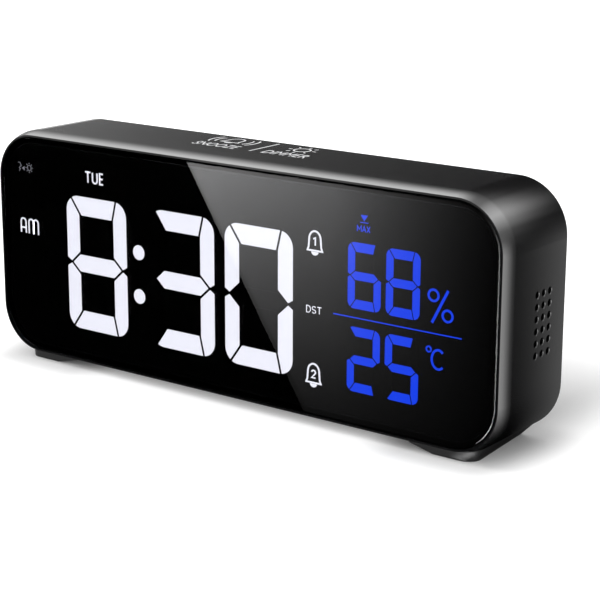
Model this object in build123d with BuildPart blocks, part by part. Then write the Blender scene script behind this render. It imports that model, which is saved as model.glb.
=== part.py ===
from build123d import *
import os
from math import degrees, radians, atan2, sqrt, tan

# Table clock with a thermometer and a hygrometer, in millimetres.
# X runs to the right and Z up as seen from the front, Y to the back. The feet stand on Z = 0, and the
# origin lies midway between the front plane and the rear edge of the shell.

# Shell: a sleeve with rounded corners, whose front edge rolls in towards the lens
body_width = 180.5
body_height = 69.6
body_depth = 31.2
corner_radius = 15.0
wall = 2.0
edge_arc_radius = 9.0
edge_arc_depth = 4.4
rear_edge_fillet = 0.5
lip = 0.55

# Vents in the right side, placed as a share of the depth between the display and the cover
vent_diameter = 1.9
vent_rim = 0.15
vent_rim_angle = 45
vent_pitch = 3.27
vent_columns = 3
vent_rows = 6
vent_share = 0.5576
vent_drop = 0.9

# Feet with a ramp at the inner end and two pegs in the shell. Their outer sides run in towards the rear and
# lean out there, so that they pass over into the corner of the shell
foot_height = 1.8
foot_side_inset = 8.95
foot_side_taper = 2.4
foot_flare_angle = 45
foot_flat = 12.6
foot_ramp = 7.7
foot_end_inset = 2.0
foot_rear_inset = 0.6
foot_corner_radius = 3.8
foot_bury = 2.5
peg_diameter = 3.0
peg_clearance = 0.05
peg_side_inset = 4.0
peg_end_inset = 6.0
peg_end_gap = 0.2

# Lens, its adhesive frame and the ledge that carries it
lens_thickness = 1.6
lens_clearance = 0.2
lens_chamfer = 0.4
tape_thickness = 0.2
tape_width = 1.5
tape_inset = 0.3
ledge_width = 2.2
ledge_thickness = 1.6

# Large digits of the time, with widths and places as shares of the width of the opening
digit_width_share = 0.135
digit_height = 40.8
digit_side_stroke = 5.1
digit_bar = 5.7
digit_middle_bar = 5.2
digit_corner_radius = 4.6
segment_gap = 0.75
mitre_outer_inset = 1.9
mitre_outer_drop = 0.6
mitre_inner_inset = 5.6
cap_outer_inset = 3.7
middle_tip_inset = 1.75
middle_flat_rise = 0.45
end_notch_width = 2.2
end_notch_height = 1.35
display_drop = 3.3
hour_share = -0.2837
hour_to_minute_share = 0.188
minute_pitch_share = 0.157
colon_share = -0.1894
colon_dot = 4.4
colon_spacing = 13.2

# Small digits of the humidity, above, and the temperature, below
small_digit_height = 18.1
small_digit_share = 0.2626
small_digit_pitch_share = 0.0692
small_row_offset = 11.6

# Reflector block with a light well behind each segment
frame_depth = 7.2
frame_clearance = 0.3
diffuser_thickness = 1.2
diffuser_clearance = 0.05
well_step = 0.35
chip_side = 1.0
chip_height = 0.7

# Boards
board_thickness = 1.2
control_side_gap = 6.05
control_past_speaker = 2.0
control_height = 50.0
control_rise = 0.5
control_notch_reach = 17.0
control_notch_height = 34.0
controller_side = 10.0
controller_height = 1.5
controller_inset = 30.0
header_pins = 12
header_pitch = 2.54
header_pin = 0.64
header_pin_clearance = 0.08
header_base = 2.5
header_pin_end_gap = 2.7
header_gap = 0.1
header_boss_gap = 6.8
header_bottom_inset = 4.5

# Screws: small pan heads with a crossed recess
screw_diameter = 2.1
screw_head_diameter = 4.4
screw_head_height = 1.1
screw_length = 7.0
screw_recess_length = 2.4
screw_recess_width = 0.6
screw_recess_depth = 0.6
screw_clearance = 0.3
pilot_clearance = 0.05
pilot_spare = 0.8
display_screw_length = 4.0
board_screw_length = 4.0

# Bosses of the shell, sunk a little into its walls
post_diameter = 6.4
post_end_gap = 4.0
post_rise = 18.0
boss_diameter = 5.0
boss_side_inset = 30.25
boss_sink = 0.2

# Rear cover, seated in the shell
cover_recess = 1.0
cover_thickness = 2.0
cover_clearance = 0.15
skirt_depth = 1.5
skirt_thickness = 1.2
board_standoff = 5.6
board_boss_inset = 3.0

# Set keys and their switches
key_names = ("time", "alarm_one", "alarm_two", "memory", "minus", "plus")
key_end_inset = 7.0
key_top_inset = 10.5
key_width = 8.0
key_height = 5.0
key_radius = 1.6
key_proud = 0.7
key_clearance = 0.2
key_edge_fillet = 0.35
key_flange = 1.0
key_flange_thickness = 1.0
key_flange_gap = 0.05
key_travel = 0.6
key_stem_diameter = 3.0
switch_side = 6.0
switch_height = 3.0
plunger_diameter = 3.4
plunger_clearance = 0.05
plunger_rise = 1.0
plunger_depth = 1.0
plunger_floor_gap = 0.1

# Power inlet
usb_width = 8.94
usb_height = 3.26
usb_radius = 1.25
usb_wall = 0.3
usb_base = 1.6
usb_tongue_width = 6.7
usb_tongue_thickness = 0.7
usb_tongue_setback = 0.6
usb_clearance = 0.15
usb_fit = 0.03
usb_side_inset = 28.25
usb_drop = 16.0

# Coin cell, its bay and its bayonet door
cell_diameter = 20.0
cell_thickness = 3.2
cell_cap_diameter = 17.6
cell_cap_height = 0.5
cell_edge_fillet = 0.4
cell_clearance = 0.2
cell_seat_gap = 0.15
cell_shift = -12.0
cell_drop = 9.0
contact_thickness = 0.3
contact_width = 3.5
contact_slit = 0.2
contact_reach = 10.0
contact_height = 3.6
contact_gap = 0.05
bay_wall = 1.6
bay_floor = 1.0
bay_rim = 1.2
door_diameter = 24.0
door_clearance = 0.3
door_turn = 60.0
door_slot_length = 13.0
door_slot_width = 1.9
door_slot_depth = 1.0
lug_reach = 1.8
lug_span = 30.0
lug_thickness = 0.9
lug_gap = 0.15
lug_end_gap = 2.0

# Speaker behind the sound holes
speaker_diameter = 28.0
speaker_rim = 2.0
speaker_rim_depth = 1.6
speaker_step = 1.0
speaker_bowl_depth = 2.6
speaker_metal = 0.6
speaker_cone_thickness = 0.3
speaker_cone_depth = 1.5
speaker_cone_centre = 8.0
speaker_dome_rise = 0.8
speaker_cone_gap = 0.05
magnet_diameter = 16.0
magnet_thickness = 3.0
speaker_side_inset = 40.25
speaker_drop = 9.0
sound_hole = 1.6
sound_ring_pitch = 4.2
sound_ring_holes = 6
sound_rings = 2

# Microphone in its rubber sleeve, above the power inlet
mic_diameter = 6.0
mic_height = 2.7
mic_sleeve_wall = 1.1
mic_clearance = 0.05
mic_hole = 1.5
mic_rise = 2.0

# Climate sensor in two rails behind the vents
sensor_board_share = 0.6
sensor_board_height = 22.0
sensor_board_thickness = 1.0
sensor_air_gap = 2.2
rail_thickness = 1.8
rail_groove = 0.8
rail_lip = 1.0
rail_clearance = 0.05
humidity_share = 0.6
humidity_height = 1.4
humidity_window_share = 0.6
humidity_window_depth = 0.4
humidity_rise = 4.0
thermistor_diameter = 1.8
thermistor_leg = 0.5
thermistor_leg_length = 4.0
thermistor_drop = 5.0

# Touch electrodes under the top wall
electrode_thickness = 0.3
electrode_width = 15.0
electrode_share = 0.78
electrode_middle_share = 0.59
snooze_centre = -16.7
dimmer_centre = 8.5

# Leads inside the shell
lead_diameter = 1.2
lead_bend = 2.0
touch_lead_drop = 11.0
touch_lead_reach = 2.8
speaker_lead_loop = 3.4
speaker_lead_run = 14.0
speaker_lead_rise = 10.0
speaker_lead_start = 4.0
sensor_lead_start = 6.0
sensor_lead_reach = 4.4
sensor_lead_inset = 6.0
sensor_lead_rise = 13.0

# Heights and widths that follow from the sizes above
middle = foot_height + body_height / 2
edge_inset = edge_arc_radius - sqrt(edge_arc_radius**2 - edge_arc_depth**2)
opening_inset = edge_inset + lip
opening_width = body_width - 2 * opening_inset
opening_height = body_height - 2 * opening_inset
opening_radius = corner_radius - opening_inset
cavity_width = body_width - 2 * wall
cavity_height = body_height - 2 * wall
cavity_radius = corner_radius - wall
ledge_opening_width = opening_width - 2 * ledge_width
ledge_opening_height = opening_height - 2 * ledge_width
ledge_opening_radius = opening_radius - ledge_width
display_middle = middle - display_drop

# Depths behind the front plane, from the lens to the rear cover
ledge_at = lens_thickness + tape_thickness
cavity_at = ledge_at + ledge_thickness
led_board_at = ledge_at + frame_depth
led_board_back = led_board_at + board_thickness
cover_back = body_depth - cover_recess
cover_at = cover_back - cover_thickness
control_back = cover_at - board_standoff
control_at = control_back - board_thickness
skirt_at = cover_at - skirt_depth
room_depth = skirt_at - led_board_back
vent_depth = led_board_back + vent_share * room_depth
electrode_depth = led_board_back + electrode_middle_share * room_depth
post_length = cover_at - led_board_back - post_end_gap

# Depths of the cell bay, from the rear face of the cover inwards
rim_at = cover_back - bay_rim
lug_back = rim_at - lug_gap
door_at = lug_back - lug_thickness
groove_at = door_at - lug_gap
cell_back = groove_at - cell_seat_gap
cell_at = cell_back - cell_thickness
bay_floor_at = cell_at - contact_thickness
bay_at = bay_floor_at - bay_floor
groove_radius = door_diameter / 2 + lug_reach + door_clearance
pocket_radius = cell_diameter / 2 + cell_clearance

# Depths of the keys
switch_back = control_back + switch_height
plunger_back = switch_back + plunger_rise
key_flange_back = cover_at - key_flange_gap
key_flange_at = key_flange_back - key_flange_thickness
plunger_at = switch_back - plunger_depth
plunger_bore_depth = plunger_depth + key_travel + plunger_floor_gap

# Places on the rear, as (x, z)
speaker_shift = body_width / 2 - speaker_side_inset
cell_place = (cell_shift, middle - cell_drop)
speaker_place = (speaker_shift, middle - speaker_drop)
usb_place = (usb_side_inset - body_width / 2, middle - usb_drop)
mic_place = (usb_place[0], middle + mic_rise)
post_x = cavity_width / 2 - post_diameter / 2 + boss_sink
post_places = [(side * post_x, middle + level * post_rise) for side in (-1, 1) for level in (-1, 1)]
boss_rise = cavity_height / 2 - boss_diameter / 2 + boss_sink
boss_x = body_width / 2 - boss_side_inset
boss_places = [(side * boss_x, middle + level * boss_rise) for side in (-1, 1) for level in (-1, 1)]
control_middle = middle + control_rise
control_left = post_diameter / 2 - post_x + control_side_gap
control_right = speaker_shift + control_past_speaker
control_notch_left = speaker_shift - control_notch_reach
control_bottom = control_middle - control_height / 2
control_top = control_middle + control_height / 2
board_boss_places = [
    (control_left + board_boss_inset, control_bottom + board_boss_inset),
    (control_left + board_boss_inset, control_top - board_boss_inset),
    (control_right - board_boss_inset, control_top - board_boss_inset),
    (control_notch_left - board_boss_inset, control_bottom + board_boss_inset),
]
key_reach = control_right - key_end_inset
key_pitch = 2 * key_reach / (len(key_names) - 1)
key_places = [(i * key_pitch - key_reach, control_top - key_top_inset) for i in range(len(key_names))]
pilot_diameter = screw_diameter + 2 * pilot_clearance


def behind(depth):
    """Give the plane at a depth behind the front plane, with X to the right and Z up in its sketches.

    A positive extrusion from it runs forwards and a negative one backwards.
    """
    return Plane.XZ.offset(body_depth / 2 - depth)


def at_depth(depth):
    """Give the Y of a point at a depth behind the front plane."""
    return depth - body_depth / 2


def gap(start, end):
    """Cut a gap between two segments out of the digit that is being sketched, and on past its end."""
    run = Vector(*end) - Vector(*start)
    with Locations(start):
        Rectangle(
            run.length + segment_gap,
            segment_gap,
            rotation=degrees(atan2(run.Y, run.X)),
            align=(Align.MIN, Align.CENTER),
            mode=Mode.SUBTRACT,
        )


def ring_sector(centre, inner, outer, start, span):
    """Sketch a part of a ring between two radii, from a start angle in degrees."""
    with BuildLine() as outline:
        outer_arc = CenterArc(centre, outer, start, span)
        inner_arc = CenterArc(centre, inner, start, span)
        Line(outer_arc @ 0, inner_arc @ 0)
        Line(outer_arc @ 1, inner_arc @ 1)
    make_face(outline.edges())


def segment_letter(face):
    """Give the usual letter of a segment of the large digit: a at the top, clockwise to f, g across."""
    centre = face.center()
    if abs(centre.Y) < digit_middle_bar / 2:
        return "g"
    if abs(centre.Y) > digit_height / 2 - digit_bar:
        return "a" if centre.Y > 0 else "d"
    if centre.X > 0:
        return "b" if centre.Y > 0 else "c"
    return "f" if centre.Y > 0 else "e"


def screw(place, seat, length, forwards):
    """Add a screw whose head sits on a seat at a depth, with its shank running on from there."""
    way = 1 if forwards else -1
    with BuildSketch(behind(seat)) as shank:
        with Locations(place):
            Circle(screw_diameter / 2)
    extrude(shank.sketch, amount=way * length)
    with BuildSketch(behind(seat)) as head:
        with Locations(place):
            Circle(screw_head_diameter / 2)
    extrude(head.sketch, amount=-way * screw_head_height)
    with BuildSketch(behind(seat + way * screw_head_height)) as recess:
        with Locations(place):
            Rectangle(screw_recess_length, screw_recess_width)
            Rectangle(screw_recess_width, screw_recess_length)
    extrude(recess.sketch, amount=way * screw_recess_depth, mode=Mode.SUBTRACT)


# Outer form of the shell: the front edge is rounded and then cut off at the front plane
with BuildPart() as body_blank:
    with BuildSketch(behind(edge_arc_depth - edge_arc_radius)):
        with Locations((0, middle)):
            RectangleRounded(body_width, body_height, corner_radius)
    extrude(amount=-(body_depth + edge_arc_radius - edge_arc_depth))
    fillet(body_blank.edges().group_by(Axis.Y)[0], edge_arc_radius)
    split(bisect_by=behind(0), keep=Keep.BOTTOM)
    fillet(body_blank.edges().group_by(Axis.Y)[-1], rear_edge_fillet)

# Climate sensor places, on the inside of the right wall
sensor_y = at_depth(vent_depth)
sensor_board_width = sensor_board_share * room_depth
humidity_side = humidity_share * sensor_board_width
humidity_window = humidity_window_share * humidity_side
sensor_z = middle - vent_drop
sensor_face = cavity_width / 2 - sensor_air_gap
sensor_x = sensor_face - sensor_board_thickness / 2
rail_reach = sensor_air_gap + sensor_board_thickness + rail_lip
rail_spacing = sensor_board_width - 2 * rail_groove + rail_thickness
peg_x = body_width / 2 - corner_radius - peg_side_inset
peg_spacing = body_depth - 2 * (foot_end_inset + peg_end_inset)

with BuildPart() as housing:
    add(body_blank.part)
    with BuildSketch(behind(0)):
        with Locations((0, middle)):
            RectangleRounded(opening_width, opening_height, opening_radius)
    extrude(amount=-ledge_at, mode=Mode.SUBTRACT)
    with BuildSketch(behind(ledge_at)):
        with Locations((0, middle)):
            RectangleRounded(ledge_opening_width, ledge_opening_height, ledge_opening_radius)
    extrude(amount=-ledge_thickness, mode=Mode.SUBTRACT)
    with BuildSketch(behind(cavity_at)):
        with Locations((0, middle)):
            RectangleRounded(cavity_width, cavity_height, cavity_radius)
    extrude(amount=-(body_depth - cavity_at), mode=Mode.SUBTRACT)
    # Posts for the rear cover, along the side walls
    with BuildSketch(behind(cover_at)):
        with Locations(*post_places):
            Circle(post_diameter / 2)
    extrude(amount=post_length)
    with BuildSketch(behind(cover_at)):
        with Locations(*post_places):
            Circle(pilot_diameter / 2)
    extrude(amount=screw_length + pilot_spare, mode=Mode.SUBTRACT)
    # Bosses for the display, along the top and bottom walls
    with BuildSketch(behind(cavity_at)):
        with Locations(*boss_places):
            Circle(boss_diameter / 2)
    extrude(amount=-(led_board_at - cavity_at))
    with BuildSketch(behind(led_board_at)):
        with Locations(*boss_places):
            Circle(pilot_diameter / 2)
    extrude(amount=display_screw_length - board_thickness + pilot_spare, mode=Mode.SUBTRACT)
    # Rails for the sensor board, with a groove for each of its edges
    with BuildSketch(Plane.XY.offset(sensor_z - sensor_board_height / 2)):
        with Locations((cavity_width / 2 - rail_reach / 2, sensor_y)):
            with GridLocations(rail_reach, rail_spacing, 1, 2):
                Rectangle(rail_reach, rail_thickness)
    extrude(amount=sensor_board_height)
    with BuildSketch(Plane.XY.offset(sensor_z - sensor_board_height / 2)):
        with Locations((sensor_x, sensor_y)):
            Rectangle(
                sensor_board_thickness + 2 * rail_clearance,
                sensor_board_width + 2 * rail_clearance,
            )
    extrude(amount=sensor_board_height, mode=Mode.SUBTRACT)
    # Vents, and holes for the pegs of the feet
    with BuildSketch(Plane.YZ.offset(body_width / 2)):
        with Locations((sensor_y, sensor_z)):
            with GridLocations(vent_pitch, vent_pitch, vent_columns, vent_rows):
                Circle(vent_diameter / 2)
    extrude(amount=-wall, mode=Mode.SUBTRACT)
    with BuildSketch(Plane.YZ.offset(body_width / 2)):
        with Locations((sensor_y, sensor_z)):
            with GridLocations(vent_pitch, vent_pitch, vent_columns, vent_rows):
                Circle(vent_diameter / 2 + vent_rim)
    extrude(amount=-vent_rim, taper=vent_rim_angle, mode=Mode.SUBTRACT)
    with BuildSketch(Plane.XY.offset(foot_height)):
        with GridLocations(2 * peg_x, peg_spacing, 2, 2):
            Circle(peg_diameter / 2 + peg_clearance)
    extrude(amount=wall, mode=Mode.SUBTRACT)

# The lens lies in the opening, level with the front plane
with BuildPart() as front_lens:
    with BuildSketch(behind(0)):
        with Locations((0, middle)):
            RectangleRounded(
                opening_width - 2 * lens_clearance,
                opening_height - 2 * lens_clearance,
                opening_radius - lens_clearance,
            )
    extrude(amount=-lens_thickness)
    chamfer(front_lens.edges().group_by(Axis.Y)[0], lens_chamfer)

with BuildPart() as lens_tape:
    with BuildSketch(behind(lens_thickness)):
        with Locations((0, middle)):
            RectangleRounded(
                opening_width - 2 * tape_inset,
                opening_height - 2 * tape_inset,
                opening_radius - tape_inset,
            )
            RectangleRounded(
                opening_width - 2 * (tape_inset + tape_width),
                opening_height - 2 * (tape_inset + tape_width),
                opening_radius - tape_inset - tape_width,
                mode=Mode.SUBTRACT,
            )
    extrude(amount=-tape_thickness)

# One digit: a rounded frame with two windows, parted into seven segments by narrow gaps.
# The left corners are mitred, and the right strokes run on round their corners.
digit_width = digit_width_share * opening_width
half_width = digit_width / 2
half_height = digit_height / 2
window_height = (digit_height - 2 * digit_bar - digit_middle_bar) / 2
with BuildSketch() as large_digit:
    RectangleRounded(digit_width, digit_height, digit_corner_radius)
    with GridLocations(digit_width, window_height + digit_middle_bar, 1, 2):
        Rectangle(digit_width - 2 * digit_side_stroke, window_height, mode=Mode.SUBTRACT)
    for level in (-1, 1):
        gap(
            (mitre_outer_inset - half_width, level * (half_height - mitre_outer_drop)),
            (mitre_inner_inset - half_width, level * (half_height - digit_bar)),
        )
        Polygon(
            (half_width - cap_outer_inset, level * half_height),
            (half_width - digit_side_stroke, level * (half_height - digit_bar)),
            (half_width - digit_side_stroke - segment_gap, level * (half_height - digit_bar)),
            (half_width - cap_outer_inset - segment_gap, level * half_height),
            align=None,
            mode=Mode.SUBTRACT,
        )
        for side in (-1, 1):
            gap(
                (side * (half_width - middle_tip_inset), 0),
                (side * (half_width - digit_side_stroke), level * (digit_middle_bar / 2 + middle_flat_rise)),
            )
    with GridLocations(digit_width, digit_height, 2, 1):
        Polygon(
            (-end_notch_width, 0),
            (0, end_notch_height),
            (end_notch_width, 0),
            (0, -end_notch_height),
            mode=Mode.SUBTRACT,
        )

large_segments = {segment_letter(face): face for face in large_digit.sketch.faces()}
small_scale = small_digit_height / digit_height
small_segments = {letter: scale(face, by=small_scale).face() for letter, face in large_segments.items()}
glyphs = {"0": "abcdef", "1": "bc", "2": "abdeg", "3": "abcdg", "5": "acdfg", "6": "acdefg", "8": "abcdefg"}


def windows(segments, glyph, letters, x, z):
    """Give the lit and the dark windows of a digit centred at (x, z), of the letters that it has."""
    place = Location((x, z, 0))
    lit = [segments[letter].moved(place) for letter in letters if letter in glyphs[glyph]]
    dark = [segments[letter].moved(place) for letter in letters if letter not in glyphs[glyph]]
    return lit, dark


# The clock shows 8:30, 68 per cent and 25 degrees. The leading digit has only the strokes of a 1, unlit.
hour_centre = hour_share * opening_width
minute_centre = hour_centre + hour_to_minute_share * opening_width
minute_pitch = minute_pitch_share * opening_width
time_digits = [("8", hour_centre), ("3", minute_centre), ("0", minute_centre + minute_pitch)]
time_lit = []
time_dark = [
    large_segments[letter].moved(Location((hour_centre - minute_pitch, display_middle, 0)))
    for letter in glyphs["1"]
]
for glyph, x in time_digits:
    lit, dark = windows(large_segments, glyph, glyphs["8"], x, display_middle)
    time_lit += lit
    time_dark += dark
with BuildSketch() as colon:
    with Locations((colon_share * opening_width, display_middle)):
        with GridLocations(colon_dot, colon_spacing, 1, 2):
            Circle(colon_dot / 2)
time_lit += colon.sketch.faces()

climate_lit = {}
climate_dark = []
for reading, level in (("68", 1), ("25", -1)):
    climate_lit[reading] = []
    for place, glyph in enumerate(reading):
        lit, dark = windows(
            small_segments,
            glyph,
            glyphs["8"],
            (small_digit_share + place * small_digit_pitch_share) * opening_width,
            display_middle + level * small_row_offset,
        )
        climate_lit[reading] += lit
        climate_dark += dark
all_windows = time_lit + time_dark + climate_lit["68"] + climate_lit["25"] + climate_dark

# Reflector: its raised middle fills the ledge opening, its flange is clamped behind the ledge
with BuildPart() as display_frame:
    with BuildSketch(behind(ledge_at)):
        with Locations((0, middle)):
            RectangleRounded(
                ledge_opening_width - 2 * frame_clearance,
                ledge_opening_height - 2 * frame_clearance,
                ledge_opening_radius - frame_clearance,
            )
    extrude(amount=-frame_depth)
    with BuildSketch(behind(cavity_at)):
        with Locations((0, middle)):
            RectangleRounded(
                cavity_width - 2 * frame_clearance,
                cavity_height - 2 * frame_clearance,
                cavity_radius - frame_clearance,
            )
    extrude(amount=-(led_board_at - cavity_at))
    with BuildSketch(behind(cavity_at)):
        with Locations(*boss_places):
            Circle(boss_diameter / 2 + frame_clearance)
    extrude(amount=-(led_board_at - cavity_at), mode=Mode.SUBTRACT)
    with BuildSketch(behind(ledge_at)):
        for window in all_windows:
            add(offset(window, diffuser_clearance, kind=Kind.INTERSECTION, mode=Mode.PRIVATE))
    extrude(amount=-diffuser_thickness, mode=Mode.SUBTRACT)
    with BuildSketch(behind(ledge_at + diffuser_thickness)):
        for window in all_windows:
            add(offset(window, -well_step, kind=Kind.INTERSECTION, mode=Mode.PRIVATE))
    extrude(amount=-(frame_depth - diffuser_thickness), mode=Mode.SUBTRACT)


def diffusers(shown):
    """Give the light windows of some segments, seated at the front of their wells."""
    with BuildPart() as group:
        with BuildSketch(behind(ledge_at)):
            add(shown)
        extrude(amount=-diffuser_thickness)
    return group


time_segments = diffusers(time_lit)
time_segments_dark = diffusers(time_dark)
humidity_segments = diffusers(climate_lit["68"])
temperature_segments = diffusers(climate_lit["25"])
climate_segments_dark = diffusers(climate_dark)

with BuildPart() as led_board:
    with BuildSketch(behind(led_board_at)):
        with Locations((0, middle)):
            RectangleRounded(
                cavity_width - 2 * frame_clearance,
                cavity_height - 2 * frame_clearance,
                cavity_radius - frame_clearance,
            )
    extrude(amount=-board_thickness)
    with BuildSketch(behind(led_board_at)):
        with Locations(*boss_places):
            Circle(screw_diameter / 2 + screw_clearance)
    extrude(amount=-board_thickness, mode=Mode.SUBTRACT)

with BuildPart() as led_chips:
    with BuildSketch(behind(led_board_at)):
        with Locations(*[(window.center().X, window.center().Y) for window in all_windows]):
            Rectangle(chip_side, chip_side)
    extrude(amount=chip_height)

with BuildPart() as display_screws:
    for place in boss_places:
        screw(place, led_board_back, display_screw_length, forwards=True)

# Control board with a notch round the speaker
with BuildPart() as control_board:
    with BuildSketch(behind(control_at)):
        with Locations((control_left, control_middle)):
            Rectangle(control_right - control_left, control_height, align=(Align.MIN, Align.CENTER))
        with Locations((control_notch_left, control_bottom)):
            Rectangle(
                control_right - control_notch_left,
                control_notch_height,
                align=Align.MIN,
                mode=Mode.SUBTRACT,
            )
        with Locations(*board_boss_places):
            Circle(screw_diameter / 2 + screw_clearance, mode=Mode.SUBTRACT)
    extrude(amount=-board_thickness)

with BuildPart() as controller_chip:
    with BuildSketch(behind(control_at)):
        with Locations((control_left + controller_inset, middle)):
            Rectangle(controller_side, controller_side)
    extrude(amount=controller_height)

# Pin header on the display board and its socket on the control board
header_length = header_pins * header_pitch
header_end = control_notch_left - board_boss_inset - header_boss_gap
header_place = (header_end - header_length / 2, control_bottom + header_bottom_inset)
header_pin_at = led_board_back + header_base
header_pin_length = control_at - header_pin_end_gap - header_pin_at
socket_at = header_pin_at + header_gap
with BuildPart() as header_strip:
    with BuildSketch(behind(led_board_back)):
        with Locations(header_place):
            Rectangle(header_length, header_base)
    extrude(amount=-header_base)
    with BuildSketch(behind(header_pin_at)):
        with Locations(header_place):
            with GridLocations(header_pitch, header_pitch, header_pins, 1):
                Rectangle(header_pin, header_pin)
    extrude(amount=-header_pin_length)

with BuildPart() as header_socket:
    with BuildSketch(behind(socket_at)):
        with Locations(header_place):
            Rectangle(header_length, header_base)
    extrude(amount=-(control_at - socket_at))
    with BuildSketch(behind(socket_at)):
        with Locations(header_place):
            with GridLocations(header_pitch, header_pitch, header_pins, 1):
                Rectangle(header_pin + 2 * header_pin_clearance, header_pin + 2 * header_pin_clearance)
    extrude(amount=-header_pin_length, mode=Mode.SUBTRACT)

with BuildPart() as tact_switches:
    with BuildSketch(behind(control_back)):
        with Locations(*key_places):
            Rectangle(switch_side, switch_side)
    extrude(amount=-switch_height)
    with BuildSketch(behind(switch_back)):
        with Locations(*key_places):
            Circle(plunger_diameter / 2 + plunger_clearance)
    extrude(amount=plunger_bore_depth, mode=Mode.SUBTRACT)

with BuildPart() as board_screws:
    for place in board_boss_places:
        screw(place, control_at, board_screw_length, forwards=False)

# Rear cover: plate, skirt, board bosses and the cell bay, then everything that is cut through it
cover_width = cavity_width - 2 * cover_clearance
cover_height = cavity_height - 2 * cover_clearance
cover_radius = cavity_radius - cover_clearance
sound_places = [(0, 0)]
for ring in range(1, sound_rings + 1):
    sound_places += [
        tuple(location.position)[:2]
        for location in PolarLocations(ring * sound_ring_pitch, sound_ring_holes * ring).local_locations
    ]
with BuildPart() as rear_cover:
    with BuildSketch(behind(cover_back)):
        with Locations((0, middle)):
            RectangleRounded(cover_width, cover_height, cover_radius)
    extrude(amount=cover_thickness)
    with BuildSketch(behind(cover_at)):
        with Locations((0, middle)):
            RectangleRounded(cover_width, cover_height, cover_radius)
            RectangleRounded(
                cover_width - 2 * skirt_thickness,
                cover_height - 2 * skirt_thickness,
                cover_radius - skirt_thickness,
                mode=Mode.SUBTRACT,
            )
        with Locations(*post_places):
            Circle(post_diameter / 2 + screw_clearance, mode=Mode.SUBTRACT)
    extrude(amount=skirt_depth)
    with BuildSketch(behind(cover_at)):
        with Locations(*board_boss_places):
            Circle(boss_diameter / 2)
    extrude(amount=board_standoff)
    with BuildSketch(behind(control_back)):
        with Locations(*board_boss_places):
            Circle(pilot_diameter / 2)
    extrude(amount=-(board_screw_length - board_thickness + pilot_spare), mode=Mode.SUBTRACT)
    # Cell bay: a wide ring for the bayonet and a narrow cup for the cell
    with BuildSketch(behind(cover_at)):
        with Locations(cell_place):
            Circle(groove_radius + bay_wall)
    extrude(amount=cover_at - groove_at + bay_wall)
    with BuildSketch(behind(cover_at)):
        with Locations(cell_place):
            Circle(pocket_radius + bay_wall)
    extrude(amount=cover_at - bay_at)
    with BuildSketch(behind(cover_back)):
        with Locations(cell_place):
            Circle(door_diameter / 2 + door_clearance)
    extrude(amount=cover_back - groove_at, mode=Mode.SUBTRACT)
    with BuildSketch(behind(groove_at)):
        with Locations(cell_place):
            Circle(pocket_radius)
    extrude(amount=groove_at - bay_floor_at, mode=Mode.SUBTRACT)
    with BuildSketch(behind(rim_at)):
        for turn in (0, 180):
            ring_sector(
                cell_place,
                door_diameter / 2,
                groove_radius,
                turn - door_turn - lug_span / 2 - lug_end_gap,
                door_turn + lug_span + 2 * lug_end_gap,
            )
    extrude(amount=rim_at - groove_at, mode=Mode.SUBTRACT)
    with BuildSketch(behind(cover_back)):
        for turn in (0, 180):
            ring_sector(
                cell_place,
                door_diameter / 2,
                groove_radius,
                turn - door_turn - lug_span / 2 - lug_end_gap,
                lug_span + 2 * lug_end_gap,
            )
    extrude(amount=bay_rim, mode=Mode.SUBTRACT)
    # Slits for the legs of the two cell contacts
    with BuildSketch(behind(bay_floor_at)):
        with Locations((cell_shift - contact_reach / 2, cell_place[1])):
            Rectangle(contact_thickness + 2 * contact_slit, contact_width + 2 * contact_slit)
    extrude(amount=bay_floor, mode=Mode.SUBTRACT)
    with BuildSketch(behind(groove_at)):
        with Locations((cell_shift + cell_diameter / 2 + contact_gap + contact_thickness / 2, cell_place[1])):
            Rectangle(contact_thickness + 2 * contact_slit, contact_width + 2 * contact_slit)
    extrude(amount=groove_at - bay_at, mode=Mode.SUBTRACT)
    # Holes for the keys, the power inlet, the sound and the microphone
    with BuildSketch(behind(cover_back)):
        with Locations(*key_places):
            RectangleRounded(key_width + 2 * key_clearance, key_height + 2 * key_clearance, key_radius)
        with Locations(usb_place):
            RectangleRounded(
                usb_width + 2 * usb_clearance,
                usb_height + 2 * usb_clearance,
                usb_radius + usb_clearance,
            )
        with Locations(speaker_place):
            with Locations(*sound_places):
                Circle(sound_hole / 2)
        with Locations(mic_place):
            Circle(mic_hole / 2)
    extrude(amount=cover_thickness, mode=Mode.SUBTRACT)
    # Counterbores for the cover screws
    with Locations(*[(x, at_depth(cover_back), z) for x, z in post_places]):
        with Locations(Rotation(-90, 0, 0)):
            CounterBoreHole(
                screw_diameter / 2 + screw_clearance,
                screw_head_diameter / 2 + screw_clearance,
                screw_head_height,
                cover_thickness,
            )

with BuildPart() as cover_screws:
    for place in post_places:
        screw(place, cover_back - screw_head_height, screw_length, forwards=True)

keys = {}
for name, place in zip(key_names, key_places):
    # Key cap, whose flange keeps it behind the cover
    with BuildPart() as key:
        with BuildSketch(behind(cover_back + key_proud)):
            with Locations(place):
                RectangleRounded(key_width, key_height, key_radius)
        extrude(amount=cover_back + key_proud - key_flange_at)
        fillet(key.edges().group_by(Axis.Y)[-1], key_edge_fillet)
        with BuildSketch(behind(key_flange_back)):
            with Locations(place):
                RectangleRounded(key_width + 2 * key_flange, key_height + 2 * key_flange, key_radius)
        extrude(amount=key_flange_thickness)
        with BuildSketch(behind(key_flange_at)):
            with Locations(place):
                Circle(key_stem_diameter / 2)
        extrude(amount=key_flange_at - plunger_back)
    keys[f"{name}_key"] = key
    # Plunger of its switch, which the key pushes
    with BuildPart() as plunger:
        with BuildSketch(behind(plunger_back)):
            with Locations(place):
                Circle(plunger_diameter / 2)
        extrude(amount=plunger_back - plunger_at)
    keys[f"{name}_plunger"] = plunger

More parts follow.
